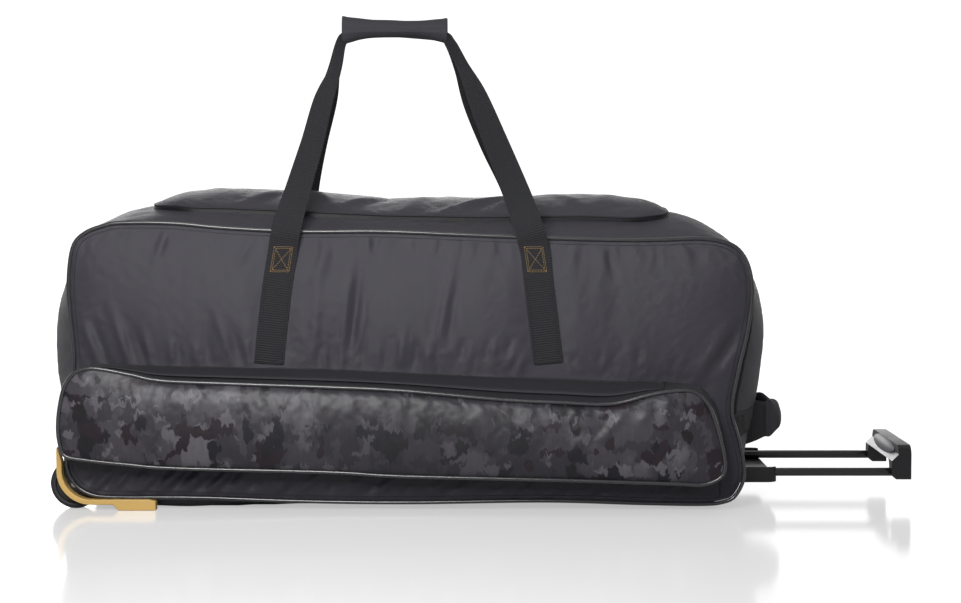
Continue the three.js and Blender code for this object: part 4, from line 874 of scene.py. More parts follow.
def makeLid():
    up, across = 44, 116
    outline = planOutline(lidSize["length"], lidSize["width"], lidSize["corner"], up, across)
    grid = fillOutline(outline, up, across)[0]
    inside = np.clip(-outlineDistance(grid, outline) / lidSize["slope"], 0, 1)
    crown = lidSize["lift"] - lidSize["rounding"] * (1 - inside) ** 2
    z = topHeight(grid[..., 0], grid[..., 1]) + crown
    z = z + foldDepth(lidFolds, grid[..., 0], grid[..., 1], 1, 1) * np.clip(inside, 0, 1)
    points = np.stack([grid[..., 0], grid[..., 1], z], axis=-1)
    faces = gridFaces(*z.shape)
    piece = makePiece("lidPanel", points, faces, bodyCloth, uv=grid)
    held = 1 + outlineDistance(grid, outline) / sewnWidth
    gathers = patchField(grid[..., 0], grid[..., 1], 0, 9, 8)
    drape(piece, held, np.clip(0.5 + gathers, 0, 1), **drapes["lid"])
    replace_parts(piece, "lid")
    subdivide(piece)
    ground = topHeight(outline[:, 0], outline[:, 1])
    edge = np.column_stack([outline, ground + lidSize["lift"] - lidSize["rounding"]])
    makeTube("lidPiping", edge, zipTeeth["piping"], trimCloth)
    low = np.column_stack([outline, ground - lidSize["sink"]])
    steps = np.linspace(0, 1, 6)
    band = low[:, None] * (1 - steps)[None, :, None] + edge[:, None] * steps[None, :, None]
    walked = walkedAlong(outline)
    uv = np.stack(np.broadcast_arrays(walked[:, None], steps * 0.012), axis=-1)
    zipBand = makePiece("lidZipBand", band, gridFaces(len(outline), 6, closed=True, turned=True),
                        trimCloth, uv=uv)
    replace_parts(zipBand, "lid_zip_band")
    middle = low * 0.55 + edge * 0.45
    middle[:, :2] += normalsOf(outline) * zipTeeth["stand"]
    teeth, faces = [], []
    gapped = np.vstack([middle, middle[:1]])
    far = walkedAlong(gapped)
    spots = np.arange(0, far[-1], zipTeeth["pitch"])
    where = pointsAlong(gapped, far, spots)
    way = unit(np.gradient(where, axis=0))
    long, high, deep = zipTeeth["half"]
    for p, t in zip(where, way):
        up3 = np.array((0, 0, 1.0))
        out3 = np.cross(up3, t)
        first = len(teeth)
        for a in (-1, 1):
            for b in (-1, 1):
                for c in (-1, 1):
                    teeth.append(p + t * a * long + up3 * b * high + out3 * c * deep)
        faces += [[first + k for k in q]
                  for q in ((0, 1, 3, 2), (4, 6, 7, 5), (0, 4, 5, 1), (2, 3, 7, 6), (0, 2, 6, 4),
                            (1, 5, 7, 3))]
    makePiece("lidZipTeeth", teeth, faces, blackPlastic, smooth=False)


makeLid()
print("lid made")


# Pocket: side wall, patterned panel, piping and the strip over its zip

def pocketWall(inset, shares):
    outer = pocketEdge - normalsOf(pocketEdge) * inset
    inner = pocketSeam - normalsOf(pocketSeam) * inset
    flat = inner[:, None] * (1 - shares)[None, :, None] + outer[:, None] * shares[None, :, None]
    y = np.broadcast_to(-halfDepth - shares * pocket["depth"], flat.shape[:2])
    return np.stack([flat[..., 0], y, flat[..., 1]], axis=-1)


flapSize = {
    "left": -0.412, "right": 0.330, "back": 0.2, "front": 0.74, "stand": 0.0012, "thickness": 0.001,
    "fade": 0.03, "rise": 0.0007, "sink": 0.0016,
}


def makePocket():
    edgeShare = 1 - pipingReach / pocket["depth"]
    shares = np.linspace(-0.05, edgeShare, 13)
    points = pocketWall(0, shares)
    walked = walkedAlong(pocketEdge)
    uv = np.stack(np.broadcast_arrays(walked[:, None], shares * 0.055), axis=-1)
    wall = makePiece("pocketSideWall", points, gridFaces(*points.shape[:2], closed=True, turned=True),
                     trimCloth, uv=uv)
    held = np.broadcast_to(np.maximum(1 - (shares - 0.05) / 0.1, 1 - (edgeShare - shares) / 0.05),
                           points.shape[:2])
    loose = 0.25 + 0.75 * np.exp(-((points[..., 0] - 0.2) / 0.09) ** 2)
    drape(wall, held, loose, **drapes["pocketWall"])
    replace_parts(wall, "pocket_gusset")
    subdivide(wall)

    outline = pocketEdge - normalsOf(pocketEdge) * pipingReach
    grid, u, w = fillOutline(outline, pocket["up"], pocket["across"])
    inside = (1 - (2 * u - 1) ** 8) * (1 - (2 * w - 1) ** 4)
    along, up = grid[..., 0] - pocket["shift"], grid[..., 1] - pocket["foot"]
    fine = pocketCreases + gatherRows(pocketGathers)
    creases = foldDepth(fine, along, up, pocket["length"] / 2, pocket["height"])
    inside = inside + creases * np.clip(-outlineDistance(grid, outline) / 0.008, 0, 1)
    points = np.stack([grid[..., 0], pocketFront - pocket["swell"] * inside, grid[..., 1]], axis=-1)
    panel = makePiece("pocketPanel", points, gridFaces(*u.shape), camoCloth, uv=grid)
    border = -outlineDistance(grid, outline)
    clusters = patchField(grid[..., 0], grid[..., 1] * 0.3, 0, 20, 11)
    right = np.exp(-((grid[..., 0] - 0.24) / 0.12) ** 2)
    slack = np.clip((0.3 + 0.7 * np.exp(-border / 0.02) + 0.6 * right) * (0.6 + 0.9 * clusters), 0, 1)
    drape(panel, 1 - border / sewnWidth, slack, **drapes["pocketPanel"])
    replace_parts(panel, "pocket_panel")
    subdivide(panel)

    centre = outline + normalsOf(outline) * pipingReach * bag["pipingStand"]
    path = np.stack([centre[:, 0], np.full(len(centre), pocketFront), centre[:, 1]], axis=1)
    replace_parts(makeTube("pocketPiping", path, bag["pipingRadius"], pipingCoat), "pocket_piping")

    shares = np.linspace(flapSize["back"], flapSize["front"], 7)
    strip = pocketWall(-flapSize["stand"], shares)
    x = strip[..., 0].mean(axis=1)
    keep = (np.arange(len(x)) > pocket["up"] - 2) & (np.arange(len(x)) < pocket["up"] + pocket["across"])
    keep &= (x > flapSize["left"]) & (x < flapSize["right"])
    strip = strip[keep]
    fade = np.clip(np.minimum(x[keep] - x[keep].min(), x[keep].max() - x[keep]) / flapSize["fade"], 0, 1)
    rise = np.outer(fade, np.array([-0.6, 1, 1, 1, 1, 1, -0.6])) * flapSize["rise"]
    strip[..., 2] += rise - (1 - fade)[:, None] * flapSize["sink"]
    uv = np.stack(np.broadcast_arrays(x[keep][:, None], shares * 0.055), axis=-1)
    flap = makePiece("pocketZipFlap", strip, gridFaces(*strip.shape[:2]), trimCloth, uv=uv)
    thick = flap.modifiers.new("thick", "SOLIDIFY")
    thick.thickness = flapSize["thickness"]
    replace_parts(flap, "pocket_zip_flap")
    rows = [strip[::1, k] + (0, -0.0002, 0.0006) for k in (1, 5)]
    makeStitches("flapStitches", [(row, np.array((0, -0.4, 0.9))) for row in rows], threadDark)


makePocket()
print("pocket made")


# Carry straps, their wrap and the handle on the right end

def strapPath(side, surface, sampled=10):
    rows = [(*row, -1.0) for row in strapRows] + [(*row, 1.0) for row in strapRows[::-1]]
    places = np.linspace(0, len(rows) - 1, (len(rows) - 1) * sampled + 1)
    table = smoothRows(rows, places)
    table = table[np.abs(table[:, 9]) > 0.99]
    path = []
    for up, left, right, rearLeft, rearRight, back, twist, narrow, fold, leg in table:
        start = np.sign(leg) * strapSize["spread"] / 2
        end = gripSize["shift"] + np.sign(leg) * gripSize["length"] / 2
        inwards = (left, right, rearLeft, rearRight)[(leg > 0) + 2 * (side > 0)]
        x = start + (end - start) * inwards
        z = up * strapSize["top"]
        plane = -halfDepth - bag["gap"]
        if up < 0.62:
            plane = min(-abs(frontOf(surface, x, min(z, 0.345), halfDepth, side)) - bag["gap"], plane)
        y = (plane - strapSize["thickness"] / 2) * (1 - min(back, 1))
        path.append((x, y, z, twist * np.sign(leg), narrow, fold, up))
    return np.array(path)


def makeStrap(name, side, surface, node):
    path = strapPath(side, surface)
    middle = path[:, :3]
    ahead = unit(np.gradient(middle, axis=0))
    across = unit(np.cross(ahead, (0, -1.0, 0)))
    angle = np.radians(path[:, 3])[:, None]
    across = across * np.cos(angle) + np.cross(ahead, across) * np.sin(angle)
    out = np.cross(across, ahead)
    halfWidth, half = strapSize["width"] / 2, strapSize["thickness"] / 2
    section = [(-1, -0.6), (-0.98, -1), (-0.5, -1), (0, -1), (0.5, -1), (0.98, -1), (1, -0.6), (1, 0.6),
               (0.98, 1), (0.5, 1), (0, 1), (-0.5, 1), (-0.98, 1), (-1, 0.6)]
    rings = np.stack([
        middle + across * (s * halfWidth * path[:, 4:5]) + out * (d * half * path[:, 5:6])
        for s, d in section
    ], axis=1)
    sewn = np.nonzero(path[:, 6] < 0.5)[0]
    for i in sewn:
        for k in range(len(section)):
            x, y, z = rings[i, k]
            face = frontOf(surface, x, z, side * -y, side)
            level = -abs(face) - bag["gap"] - strapSize["thickness"] * (0.1 if section[k][1] < 0 else 1.0)
            rings[i, k, 1] = 0.35 * rings[i, k, 1] + 0.65 * level
    walked = walkedAlong(middle)
    widths = np.array([s for s, d in section]) * halfWidth
    uv = np.stack(np.broadcast_arrays(widths, walked[:, None]), axis=-1)
    if side > 0:
        rings = rings * (1, -1, 1)
    size = len(section)
    faces = gridFaces(len(path), size) + [
        [(i + 1) * size + size - 1, (i + 1) * size, i * size, i * size + size - 1][::-1]
        for i in range(len(path) - 1)
    ]
    faces = [face[::-1] for face in faces] if side > 0 else faces
    caps = [list(range(size)), list(range((len(path) - 1) * size, len(path) * size))[::-1]]
    piece = makePiece(name, rings, faces + caps, webbing, uv=uv)
    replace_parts(piece, node)
    return subdivide(piece)


def stitchStrap(label, side, piece):  # a box with a cross where each leg is sewn, and a line along each edge
    look = {"wide": 0.024, "low": 0.308, "high": 0.340, "edge": 0.0155, "foot": 0.196, "up": 0.302,
            "inner": 0.0022}
    tree = surfaceOf(piece)
    normal = np.array((0, side, 0.0))
    boxes, edges = [], []
    for leg in (-1, 1):
        def place(across, z):
            return strapMiddle(z, leg, side > 0) + across, z

        def box(inset):
            half, low, high = look["wide"] / 2 - inset, look["low"] + inset, look["high"] - inset
            return [place(-half, low), place(-half, high), place(half, high), place(half, low),
                    place(-half, low)]

        corners, inner = box(0), box(look["inner"])
        lines = [corners, [corners[0], corners[2]], [corners[1], corners[3]]]
        for line in lines + [inner]:
            for a, b in zip(line, line[1:]):
                boxes.append((frontLine(tree, stretch(a, b, 14), side, 0.0003), normal))
        for across in (-look["edge"], look["edge"]):
            run = [place(across, z) for z in np.linspace(look["foot"], look["up"], 40)]
            edges.append((frontLine(tree, run, side, 0.0002), normal))
    makeStitches(label + "Boxes", boxes, threadGold, length=0.0024, pitch=0.0033, radius=0.0004)
    makeStitches(label + "Edges", edges, threadDark)


frontStrap = makeStrap("carryStrapFront", -1, frontSurface, "carry_strap_front")
rearStrap = makeStrap("carryStrapRear", 1, backSurface, "carry_strap_rear")
stitchStrap("frontStrapStitch", -1, frontStrap)
stitchStrap("rearStrapStitch", 1, rearStrap)


def makeGrip():
    # along, top, bottom, thickness
    rows = [
        (-1, 1.0, -1.0, 0.86), (-0.97, 1.04, -1.02, 0.96), (-0.84, 0.93, -0.86, 1),
        (-0.45, 0.79, -0.58, 0.97), (0, 0.76, -0.50, 0.94), (0.2, 0.72, -0.47, 0.94),
        (0.45, 0.70, -0.53, 0.97), (0.84, 0.82, -0.84, 1), (0.97, 0.92, -0.98, 0.96),
        (1, 0.86, -0.95, 0.86),
    ]
    table = smoothRows(rows, np.linspace(0, len(rows) - 1, 73))
    turn = np.linspace(0, 2 * math.pi, 40, endpoint=False)
    sine = np.sin(turn)
    high = np.where(sine[None] > 0, table[:, 1:2], -table[:, 2:3]) * sine[None] * gripSize["height"] / 2
    deep = np.cos(turn)[None] * table[:, 3:4] * gripSize["thickness"] / 2
    dent = np.exp(-((turn[None] - 3.20) / 0.07) ** 2) * -0.0020
    overlap = dent + np.exp(-((turn[None] - 3.34) / 0.10) ** 2) * 0.0012  # where the wrap closes on itself
    x = gripSize["shift"] + table[:, 0:1] * gripSize["length"] / 2 + 0 * high
    deep = deep * (1 + overlap / 0.012)
    high = high * (1 + overlap / 0.014)
    points = np.stack([x, deep, strapSize["top"] + high], axis=-1)
    uv = np.stack(np.broadcast_arrays(table[:, 0:1] * 0.07, turn * 0.015), axis=-1)
    piece = makePiece("carryGrip", points, ringFaces(len(table), len(turn)), gripCloth, uv=uv)
    lumps = patchNoise(points.reshape(-1, 3), 40, 17)[:, None] * 0.0015
    normal = points.reshape(-1, 3) - np.stack([x, 0 * x, 0 * x + strapSize["top"]], axis=-1).reshape(-1, 3)
    movePoints(piece, points.reshape(-1, 3) + normal / 0.014 * lumps)
    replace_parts(piece, "carry_grip")


makeGrip()


def makeEndHandle():
    look = {
        "width": 0.036, "root": 0.068, "thickness": 0.005, "halfSpan": 0.078, "reach": 0.058,
        "height": 0.102, "roundness": 2.2, "pad": 0.6, "padThickness": 0.013, "count": 81,
    }
    stations = np.linspace(-1.12, 1.12, look["count"])
    reach = look["reach"] * np.maximum(1 - np.abs(stations) ** look["roundness"], -0.6)
    middle = np.stack([halfLength + reach, stations * look["halfSpan"],
                       np.full(len(stations), look["height"])], axis=1)
    ahead = unit(np.gradient(middle, axis=0))
    out = np.cross(ahead, (0, 0, 1.0))
    flare = np.clip(np.abs(stations), 0, 1) ** 2
    high = (look["width"] + (look["root"] - look["width"]) * flare) / 2
    thick = np.full(len(stations), look["thickness"] / 2)
    walked = walkedAlong(middle)

    def loop(name, keep, high, thick, material, slotName, wobble, power):
        turn = np.linspace(0, 2 * math.pi, 28, endpoint=False)
        cosine, sine = np.cos(turn), np.sin(turn)
        cosine, sine = np.sign(cosine) * np.abs(cosine) ** power, np.sign(sine) * np.abs(sine) ** power
        rings = middle[keep, None] + out[keep, None] * (thick[keep, None] * cosine)[..., None]
        rings = rings + np.array((0, 0, 1.0)) * (high[keep, None] * sine)[..., None]
        bumps = patchNoise(rings.reshape(-1, 3), 55, 21).reshape(rings.shape[:2])
        rings = rings + (rings - middle[keep, None]) * (bumps * wobble)[..., None]
        faces = ringFaces(*rings.shape[:2])
        uv = np.stack(np.broadcast_arrays(sine[None] * look["root"] / 2, walked[keep][:, None]), axis=-1)
        return makePiece(name, rings, faces, material, uv=uv)

    strap = loop("endHandle", np.full(len(stations), True), high, thick, webbing, "webbing", 0.02, 0.45)
    padShare = np.clip((look["pad"] - np.abs(stations)) / 0.30, 0, 1) ** 0.6
    padHigh = high + 0.0012 + 0.0015 * padShare
    pad = loop("endHandlePad", np.abs(stations) < look["pad"], padHigh,
               thick + (look["padThickness"] / 2) * padShare + 0.0008,
               gripCloth, "trim_cloth", 0.22, 0.95)
    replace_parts(strap, "end_handle")


makeEndHandle()


def endLine(tree, places, stand=0.0):  # points (y, z) laid on the right end
    line = []
    for y, z in places:
        hit = tree.ray_cast(Vector((0.6, y, z)), Vector((-1, 0, 0)))[0]
        line.append(((hit.x if hit else halfLength) + stand, y, z))
    return np.array(line)


def makeEndTrim():
    look = {
        "foot": 0.166, "root": 0.082, "height": 0.108, "wide": 0.030, "thick": 0.0016,
        "seamInset": 0.016, "seamLow": 0.055, "seamHigh": 0.300, "seamRadius": 0.0011, "box": 0.011,
        "boxNear": 0.004, "boxFar": 0.030,
    }
    tree = surfaceOf(sideWall)
    stitches = []
    for label, side in (("Front", -1), ("Rear", 1)):
        across = np.linspace(-1, 1, 13)
        along = np.linspace(look["foot"], look["root"], 30)
        grid = [endLine(tree, [(side * y, look["height"] + a * look["wide"] / 2) for a in across],
                        look["thick"]) for y in along]
        grid = np.array(grid)
        uv = np.stack(np.broadcast_arrays(across[None] * look["wide"] / 2, along[:, None]), axis=-1)
        faces = gridFaces(len(along), len(across), turned=side < 0)
        foot = makePiece("endHandleFoot" + label, grid, faces, webbing, uv=uv)
        thick = foot.modifiers.new("thick", "SOLIDIFY")
        thick.thickness, thick.offset = look["thick"], 1
        low, high = look["height"] - look["box"], look["height"] + look["box"]
        near, far = look["foot"] - look["boxNear"], look["foot"] - look["boxFar"]
        loop = [(near, low), (near, high), (far, high), (far, low), (near, low)]
        for line in (loop, [loop[0], loop[2]], [loop[1], loop[3]]):
            for a, b in zip(line, line[1:]):
                laid = endLine(tree, stretch(a, b, 12) * (side, 1), look["thick"] * 1.6)
                stitches.append((laid, np.array((1.0, 0, 0))))
        seamY = side * (halfDepth - look["seamInset"])
        heights = np.linspace(look["seamLow"], look["seamHigh"], 90)
        seamPath = endLine(tree, [(seamY, z) for z in heights], 0.0002)
        makeTube("endSeam" + label, seamPath, look["seamRadius"], trimCloth, closed=False)
        for shift in (-0.0035, 0.0035):
            laid = endLine(tree, [(seamY + shift, z) for z in heights], 0.0003)
            stitches.append((laid, np.array((1.0, 0, 0))))
    makeStitches("endStitches", stitches, threadDark)


makeEndTrim()
print("webbing made")


# Hard pieces

def bevelled(piece, width, segments=3, angle=35):
    edge = piece.modifiers.new("edge", "BEVEL")
    edge.width, edge.segments, edge.limit_method = width, segments, "ANGLE"
    edge.angle_limit = math.radians(angle)
    edge.harden_normals = True
    return piece


# a flat outline with thickness along an axis
def makePlate(name, outline, axis, start, end, material, body="bag"):
    flat = np.asarray(outline, float)
    order = {"y": (0, 2), "z": (0, 1), "x": (1, 2)}[axis]
    k = "xyz".index(axis)
    points = np.zeros((2, len(flat), 3))
    points[..., order[0]], points[..., order[1]] = flat[:, 0], flat[:, 1]
    points[0, :, k], points[1, :, k] = start, end
    size = len(flat)
    faces = [list(range(size))[::-1], list(range(size, 2 * size))]
    faces += [[i, (i + 1) % size, size + (i + 1) % size, size + i] for i in range(size)]
    piece = makePiece(name, points, faces, material, body)
    shape = bmesh.new()
    shape.from_mesh(piece.data)
    bmesh.ops.recalc_face_normals(shape, faces=shape.faces)
    shape.to_mesh(piece.data)
    shape.free()
    return piece


def arc(x, z, radius, start, end, steps):
    turn = np.linspace(start, end, steps)
    return np.stack([x + radius * np.cos(turn), z + radius * np.sin(turn)], axis=1).tolist()


guard = {
    "thickness": 0.0070, "radius": 0.044, "left": -0.4535, "low": 0.0075, "top": 0.064, "tip": 0.083,
    "depth": 0.0155, "proud": 0.009, "foot": -0.374, "footLength": 0.048,
}
wheel = {"radius": 0.0325, "width": 0.026, "x": -0.4326, "inset": 0.008}


def makeWheelCorner(label, side):
    x, z = guard["left"] + guard["radius"], guard["low"] + guard["radius"]
    inner = guard["radius"] - guard["thickness"]
    front = halfDepth + guard["proud"]
    turn = math.pi
    outline = [(guard["left"] + 0.0012, guard["tip"]), (guard["left"], guard["tip"] - 0.004)]
    outline += arc(x, z, guard["radius"], turn, 1.5 * turn, 26)
    end = guard["foot"] + guard["footLength"]
    outline += [(guard["foot"] - guard["low"], guard["low"]), (guard["foot"], 0), (end, 0)]
    outline += [(end, guard["low"] + guard["thickness"] * 0.7),
                (end - guard["footLength"] * 0.2, guard["low"] + guard["thickness"])]
    outline += arc(x, z, inner, 1.5 * turn, turn, 26) + [(guard["left"] + guard["thickness"], guard["top"])]
    plate = makePlate("wheelGuard" + label, outline, "y", side * front, side * (front - guard["depth"]),
                      goldPlastic)
    bevelled(plate, 0.0016)
    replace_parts(plate, "wheel_guard_" + label.lower())

    face = halfDepth - wheel["inset"]
    half = wheel["width"] / 2
    r = wheel["radius"]
    # radius and place across the wheel: the bore, the stepped face, the tread, the plain back
    bore, backEdge = 0.0043, -half
    profile = [
        (bore, half), (r * 0.26, half), (r * 0.3, half - 0.001), (r * 0.42, half - 0.001),
        (r * 0.46, half - 0.003), (r * 0.74, half - 0.003), (r * 0.78, half - 0.0005), (r * 0.84, half),
        (r - 0.004, half), (r - 0.0012, half - 0.0015), (r, half - 0.005), (r, -half + 0.005),
        (r - 0.0012, -half + 0.0015), (r - 0.004, backEdge), (r * 0.5, backEdge), (bore, backEdge),
    ]
    steps = 64
    rings = [
        [(wheel["x"] + p * math.cos(t), side * (face - half + q), r + p * math.sin(t)) for p, q in profile]
        for t in np.linspace(0, 2 * math.pi, steps, endpoint=False)
    ]
    size = len(profile)
    faces = gridFaces(steps, size, closed=True) + [
        [i * size + size - 1, ((i + 1) % steps) * size + size - 1, ((i + 1) % steps) * size, i * size]
        for i in range(steps)
    ]
    faces = [f[::-1] for f in faces] if side < 0 else faces
    tyre = makePiece("wheel" + label, rings, faces, wheelRubber, "wheel_" + label.lower())
    bevelled(tyre, 0.0004, 2, 30)
    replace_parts(tyre, "wheel_" + label.lower())


for label, side in (("Front", -1), ("Rear", 1)):
    makeWheelCorner(label, side)
for node, look in {
    "wheel_housing_front": blackPlastic, "wheel_housing_rear": blackPlastic, "axle_front": steel,
    "axle_rear": steel, "handle_tube_front": steel, "handle_tube_rear": steel,
}.items():
    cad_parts[node].data.materials.clear()
    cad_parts[node].data.materials.append(look)

pull = {
    "face": 0.638, "depth": 0.026, "bottom": 0.0275, "top": 0.0724, "leg": 0.020, "bar": 0.052,
    "corner": 0.014, "innerCorner": 0.009, "slope": 0.009, "chamfer": 0.006, "spacing": 0.172,
    "rodRadius": 0.0055, "rodHeight": 0.0364, "rodStart": -0.120, "socket": 0.020,
}


padSize = {"half": 0.0655, "high": 0.0105, "drop": 0.009, "deep": 0.008}


def makePullHandle():
    half = pull["spacing"] / 2 + pull["leg"] / 2
    inner = half - pull["leg"]
    turn = math.pi
    outline = [(-half, pull["bottom"]), (-inner, pull["bottom"])]
    outline += arc(-inner + pull["innerCorner"], pull["bar"] - pull["innerCorner"], pull["innerCorner"],
                   turn, turn / 2, 8)
    outline += arc(inner - pull["innerCorner"], pull["bar"] - pull["innerCorner"], pull["innerCorner"],
                   turn / 2, 0, 8)
    outline += [(inner, pull["bottom"]), (half, pull["bottom"])]
    outline += arc(half - pull["corner"], pull["top"] - pull["corner"], pull["corner"], 0, turn / 2, 10)
    outline += arc(-half + pull["corner"], pull["top"] - pull["corner"], pull["corner"], turn / 2, turn, 10)
    back = pull["face"] + pull["depth"]
    grip = makePlate("pullGrip", outline, "x", pull["face"], back, blackPlastic,
                     "pull_handle")
    cutters = [
        [(pull["face"] - 0.01, pull["bar"]), (pull["face"], pull["bar"]),
         (pull["face"] + pull["slope"], pull["bar"] + pull["slope"]),
         (pull["face"] + pull["slope"], 0.09), (pull["face"] - 0.01, 0.09)],
        [(pull["face"] - 0.01, 0.02), (pull["face"] + pull["chamfer"], 0.02),
         (pull["face"] + pull["chamfer"], pull["bottom"]),
         (pull["face"], pull["bottom"] + pull["chamfer"]),
         (pull["face"] - 0.01, pull["bottom"] + pull["chamfer"])],
    ]
    for cutter in cutters:
        tool = makePlate("cutter", cutter, "y", -0.12, 0.12, blackPlastic, "pull_handle")
        cut = grip.modifiers.new("cut", "BOOLEAN")
        cut.operation, cut.object, cut.solver = "DIFFERENCE", tool, "EXACT"
        bpy.context.view_layer.update()
        shaped = bpy.data.meshes.new_from_object(grip.evaluated_get(bpy.context.evaluated_depsgraph_get()))
        grip.modifiers.clear()
        grip.data = shaped
        bpy.data.objects.remove(tool)
    shaped.polygons.foreach_set("use_smooth", [True] * len(shaped.polygons))
    bevelled(grip, 0.0034, 4)
    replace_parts(grip, "pull_grip")

    rows, columns = 16, 40
    deep = padSize["deep"]
    points = []
    for i in range(rows + 1):
        t = turn * i / rows
        for k in range(columns):
            s = 2 * turn * k / columns
            points.append((pull["face"] + deep - deep * math.sin(t) * abs(math.cos(s))
                           * np.sign(math.cos(s)),
                           padSize["half"] * -math.cos(t),
                           pull["top"] - padSize["drop"] + padSize["high"] * math.sin(t) * math.sin(s)))
    faces = [[i * columns + k, i * columns + (k + 1) % columns, (i + 1) * columns + (k + 1) % columns,
              (i + 1) * columns + k]
             for i in range(rows) for k in range(columns)]
    pad = makePiece("pullGripPad", points, faces, greyRubber, "pull_handle")
    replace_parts(pad, "pull_grip_insert")
    stations = np.linspace(pull["rodStart"], pull["face"] + pull["socket"], 20)
    for label, side in (("Front", -1), ("Rear", 1)):
        path = [(x, side * pull["spacing"] / 2, pull["rodHeight"]) for x in stations]
        rod = makeTube("handleRod" + label, path, pull["rodRadius"], blackMetal,
                       "pull_handle", closed=False, sides=32)
        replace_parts(rod, "handle_rod_" + label.lower())


makePullHandle()


def makeTray():
    tray = {
        "start": 0.405, "end": 0.486, "width": 0.196, "wall": 0.0035, "bottom": 0.024, "floor": 0.0303,
        "top": 0.0445, "corner": 0.014, "bevel": 0.0008,
    }
    half, corner = tray["width"] / 2, tray["corner"]
    plan = [(tray["start"], -half), (tray["end"] - corner, -half)]
    plan += arc(tray["end"] - corner, -half + corner, corner, -math.pi / 2, 0, 8)[1:]
    plan += arc(tray["end"] - corner, half - corner, corner, 0, math.pi / 2, 8)
    plan += [(tray["start"], half)]
    plan = np.array(plan)
    inner = plan.copy()
    inner[:, 1] = np.clip(inner[:, 1], -half + tray["wall"], half - tray["wall"])
    # share in from the outer edge, height: the outside, the rim, the inside, the floor
    levels = [(0.10, tray["bottom"]), (0.03, tray["bottom"] + 0.002), (0, tray["bottom"] + 0.006),
              (0, tray["top"] - 0.001),
              (0.35, tray["top"]), (1, tray["top"] - 0.001), (1, tray["floor"])]
    rings = []
    for share, z in levels:
        flat = plan * (1 - share) + inner * share
        away = np.clip((flat[:, 0] - tray["end"] + 3 * corner) / (3 * corner), 0, 1)
        dip = (tray["top"] - tray["floor"]) * away * (np.abs(flat[:, 1]) < half - corner * 0.6)
        height = np.minimum(z, tray["top"] - dip) if z > tray["floor"] else np.full(len(flat), z)
        rings.append(np.column_stack([flat[:, 0], flat[:, 1], height]))
    rings = np.array(rings)
    count, size = rings.shape[:2]
    faces = [[i * size + k, i * size + k + 1, (i + 1) * size + k + 1, (i + 1) * size + k]
             for i in range(count - 1) for k in range(size - 1)]
    faces += [[i * size + size - 1, i * size, (i + 1) * size, (i + 1) * size + size - 1]
              for i in range(count - 1)]
    faces += [list(range(size))[::-1], list(range((count - 1) * size, count * size))]
    piece = makePiece("handleTray", rings, faces, blackPlastic)
    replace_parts(bevelled(piece, tray["bevel"], 2), "handle_tray")


makeTray()
print("hard pieces made")


# Studio: pale floor, soft lights and the camera

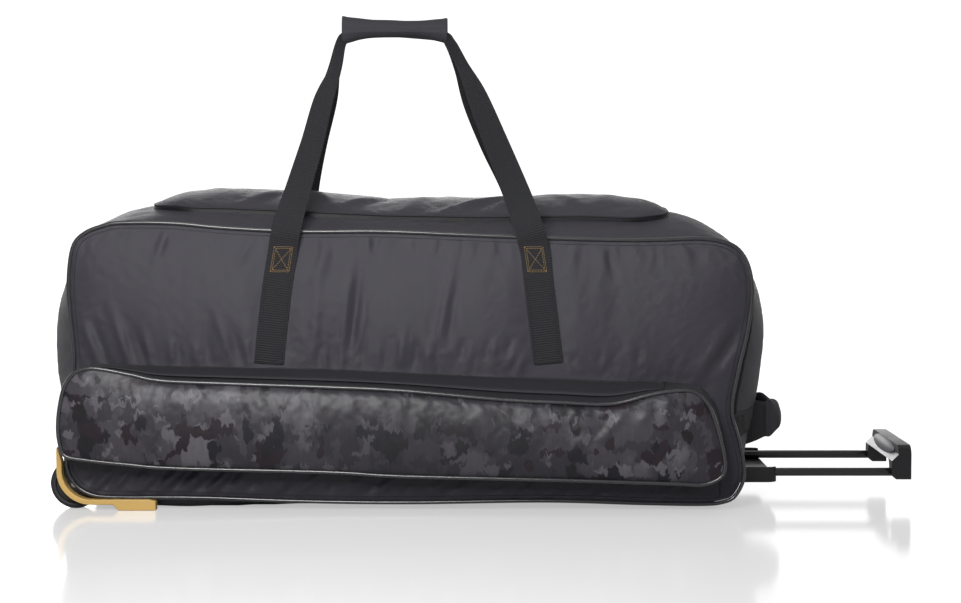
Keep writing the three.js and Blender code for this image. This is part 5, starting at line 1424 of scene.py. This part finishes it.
def makeStudio():
    studio = {
        "floorSize": 40.0, "shade": 0.55, "gloss": 0.12, "glow": 0.47, "fill": 0.25,
        "backdropHeight": 4.4, "backdropGlow": 1.0,
    }
    size = studio["floorSize"] / 2

    def stagePlane(name, corners, material):
        mesh = bpy.data.meshes.new(name)
        mesh.from_pydata(corners, [], [(0, 1, 2, 3)])
        plane = bpy.data.objects.new(name, mesh)
        scene.collection.objects.link(plane)
        mesh.materials.append(material)
        return plane

    # only the camera sees the floor's gloss and glow: to other rays it is dull
    material, tree, shader = finish("pale floor", (studio["shade"],) * 3, studio["gloss"])
    shader.inputs["Emission Color"].default_value = (1, 1, 1, 1)
    seenFirst = addNode(tree, "ShaderNodeLightPath").outputs["Is Camera Ray"]
    tree.links.new(maths(tree, "MULTIPLY", seenFirst, studio["glow"]), shader.inputs["Emission Strength"])
    dull = addNode(tree, "ShaderNodeBsdfDiffuse", {"Color": (studio["shade"],) * 3 + (1,)})
    floorMix = addNode(tree, "ShaderNodeMixShader",
                       {"Fac": seenFirst, 1: dull.outputs[0], 2: shader.outputs[0]})
    output = next(node for node in tree.nodes if node.type == "OUTPUT_MATERIAL")
    tree.links.new(floorMix.outputs[0], output.inputs["Surface"])
    stagePlane("studioFloor", [(-size, -size, 0), (size, -size, 0), (size, size, 0), (-size, size, 0)],
               material)
    material, tree, shader = finish("white backdrop", (0.9, 0.9, 0.9), 0.9)
    shader.inputs["Emission Color"].default_value = (1, 1, 1, 1)
    shader.inputs["Emission Strength"].default_value = studio["backdropGlow"]
    top = studio["backdropHeight"]
    backdrop = stagePlane(
        "studioBackdrop", [(-size, size, 0), (size, size, 0), (size, size, top), (-size, size, top)],
        material,
    )
    backdrop.visible_diffuse = False
    world = bpy.data.worlds.new("studio")
    scene.world = world
    world.use_nodes = True
    tree = world.node_tree
    background = tree.nodes["Background"]
    background.inputs["Color"].default_value = (1, 1, 1, 1)
    background.inputs["Strength"].default_value = studio["fill"]
    seen = addNode(tree, "ShaderNodeBackground", {"Color": (1, 1, 1, 1), "Strength": 1.0})
    ray = addNode(tree, "ShaderNodeLightPath")
    mix = addNode(tree, "ShaderNodeMixShader",
                  {"Fac": ray.outputs["Is Camera Ray"], 1: background.outputs[0], 2: seen.outputs[0]})
    tree.links.new(mix.outputs[0], tree.nodes["World Output"].inputs["Surface"])
    # name, place, aim, width, height, watts
    lamps = [
        ("key", (-0.30, -1.75, 0.95), (-0.05, 0, 0.2), 0.7, 0.7, 23),
        ("top", (0.1, -0.1, 2.3), (0.0, 0, 0.2), 2.0, 0.7, 5),
        ("right", (2.3, -0.9, 1.0), (0.2, 0, 0.15), 0.8, 1.2, 1.5),
        ("back", (-0.4, 2.6, 0.8), (0, 0, 0.2), 1.8, 1.0, 12),
    ]
    for name, place, aim, width, height, watts in lamps:
        data = bpy.data.lights.new(name, "AREA")
        data.shape, data.size, data.size_y, data.energy = "RECTANGLE", width, height, watts
        lamp = bpy.data.objects.new(name, data)
        lamp.location = place
        lamp.rotation_euler = (Vector(aim) - Vector(place)).to_track_quat("-Z", "Y").to_euler()
        scene.collection.objects.link(lamp)
    scene.view_settings.view_transform = "Standard"
    view = {"x": 0.092, "height": 0.444, "distance": 2.7, "pitch": 3.70, "focalPixels": 2109,
            "imageWidth": 961}
    data = bpy.data.cameras.new("camera")
    data.sensor_width = 36
    data.lens = 36 * view["focalPixels"] / view["imageWidth"]
    data.clip_start, data.clip_end = 0.05, 60
    camera = bpy.data.objects.new("camera", data)
    camera.location = (view["x"], -halfDepth - view["distance"], view["height"])
    camera.rotation_euler = (math.radians(90 - view["pitch"]), 0, 0)
    scene.collection.objects.link(camera)
    scene.camera = camera


makeStudio()
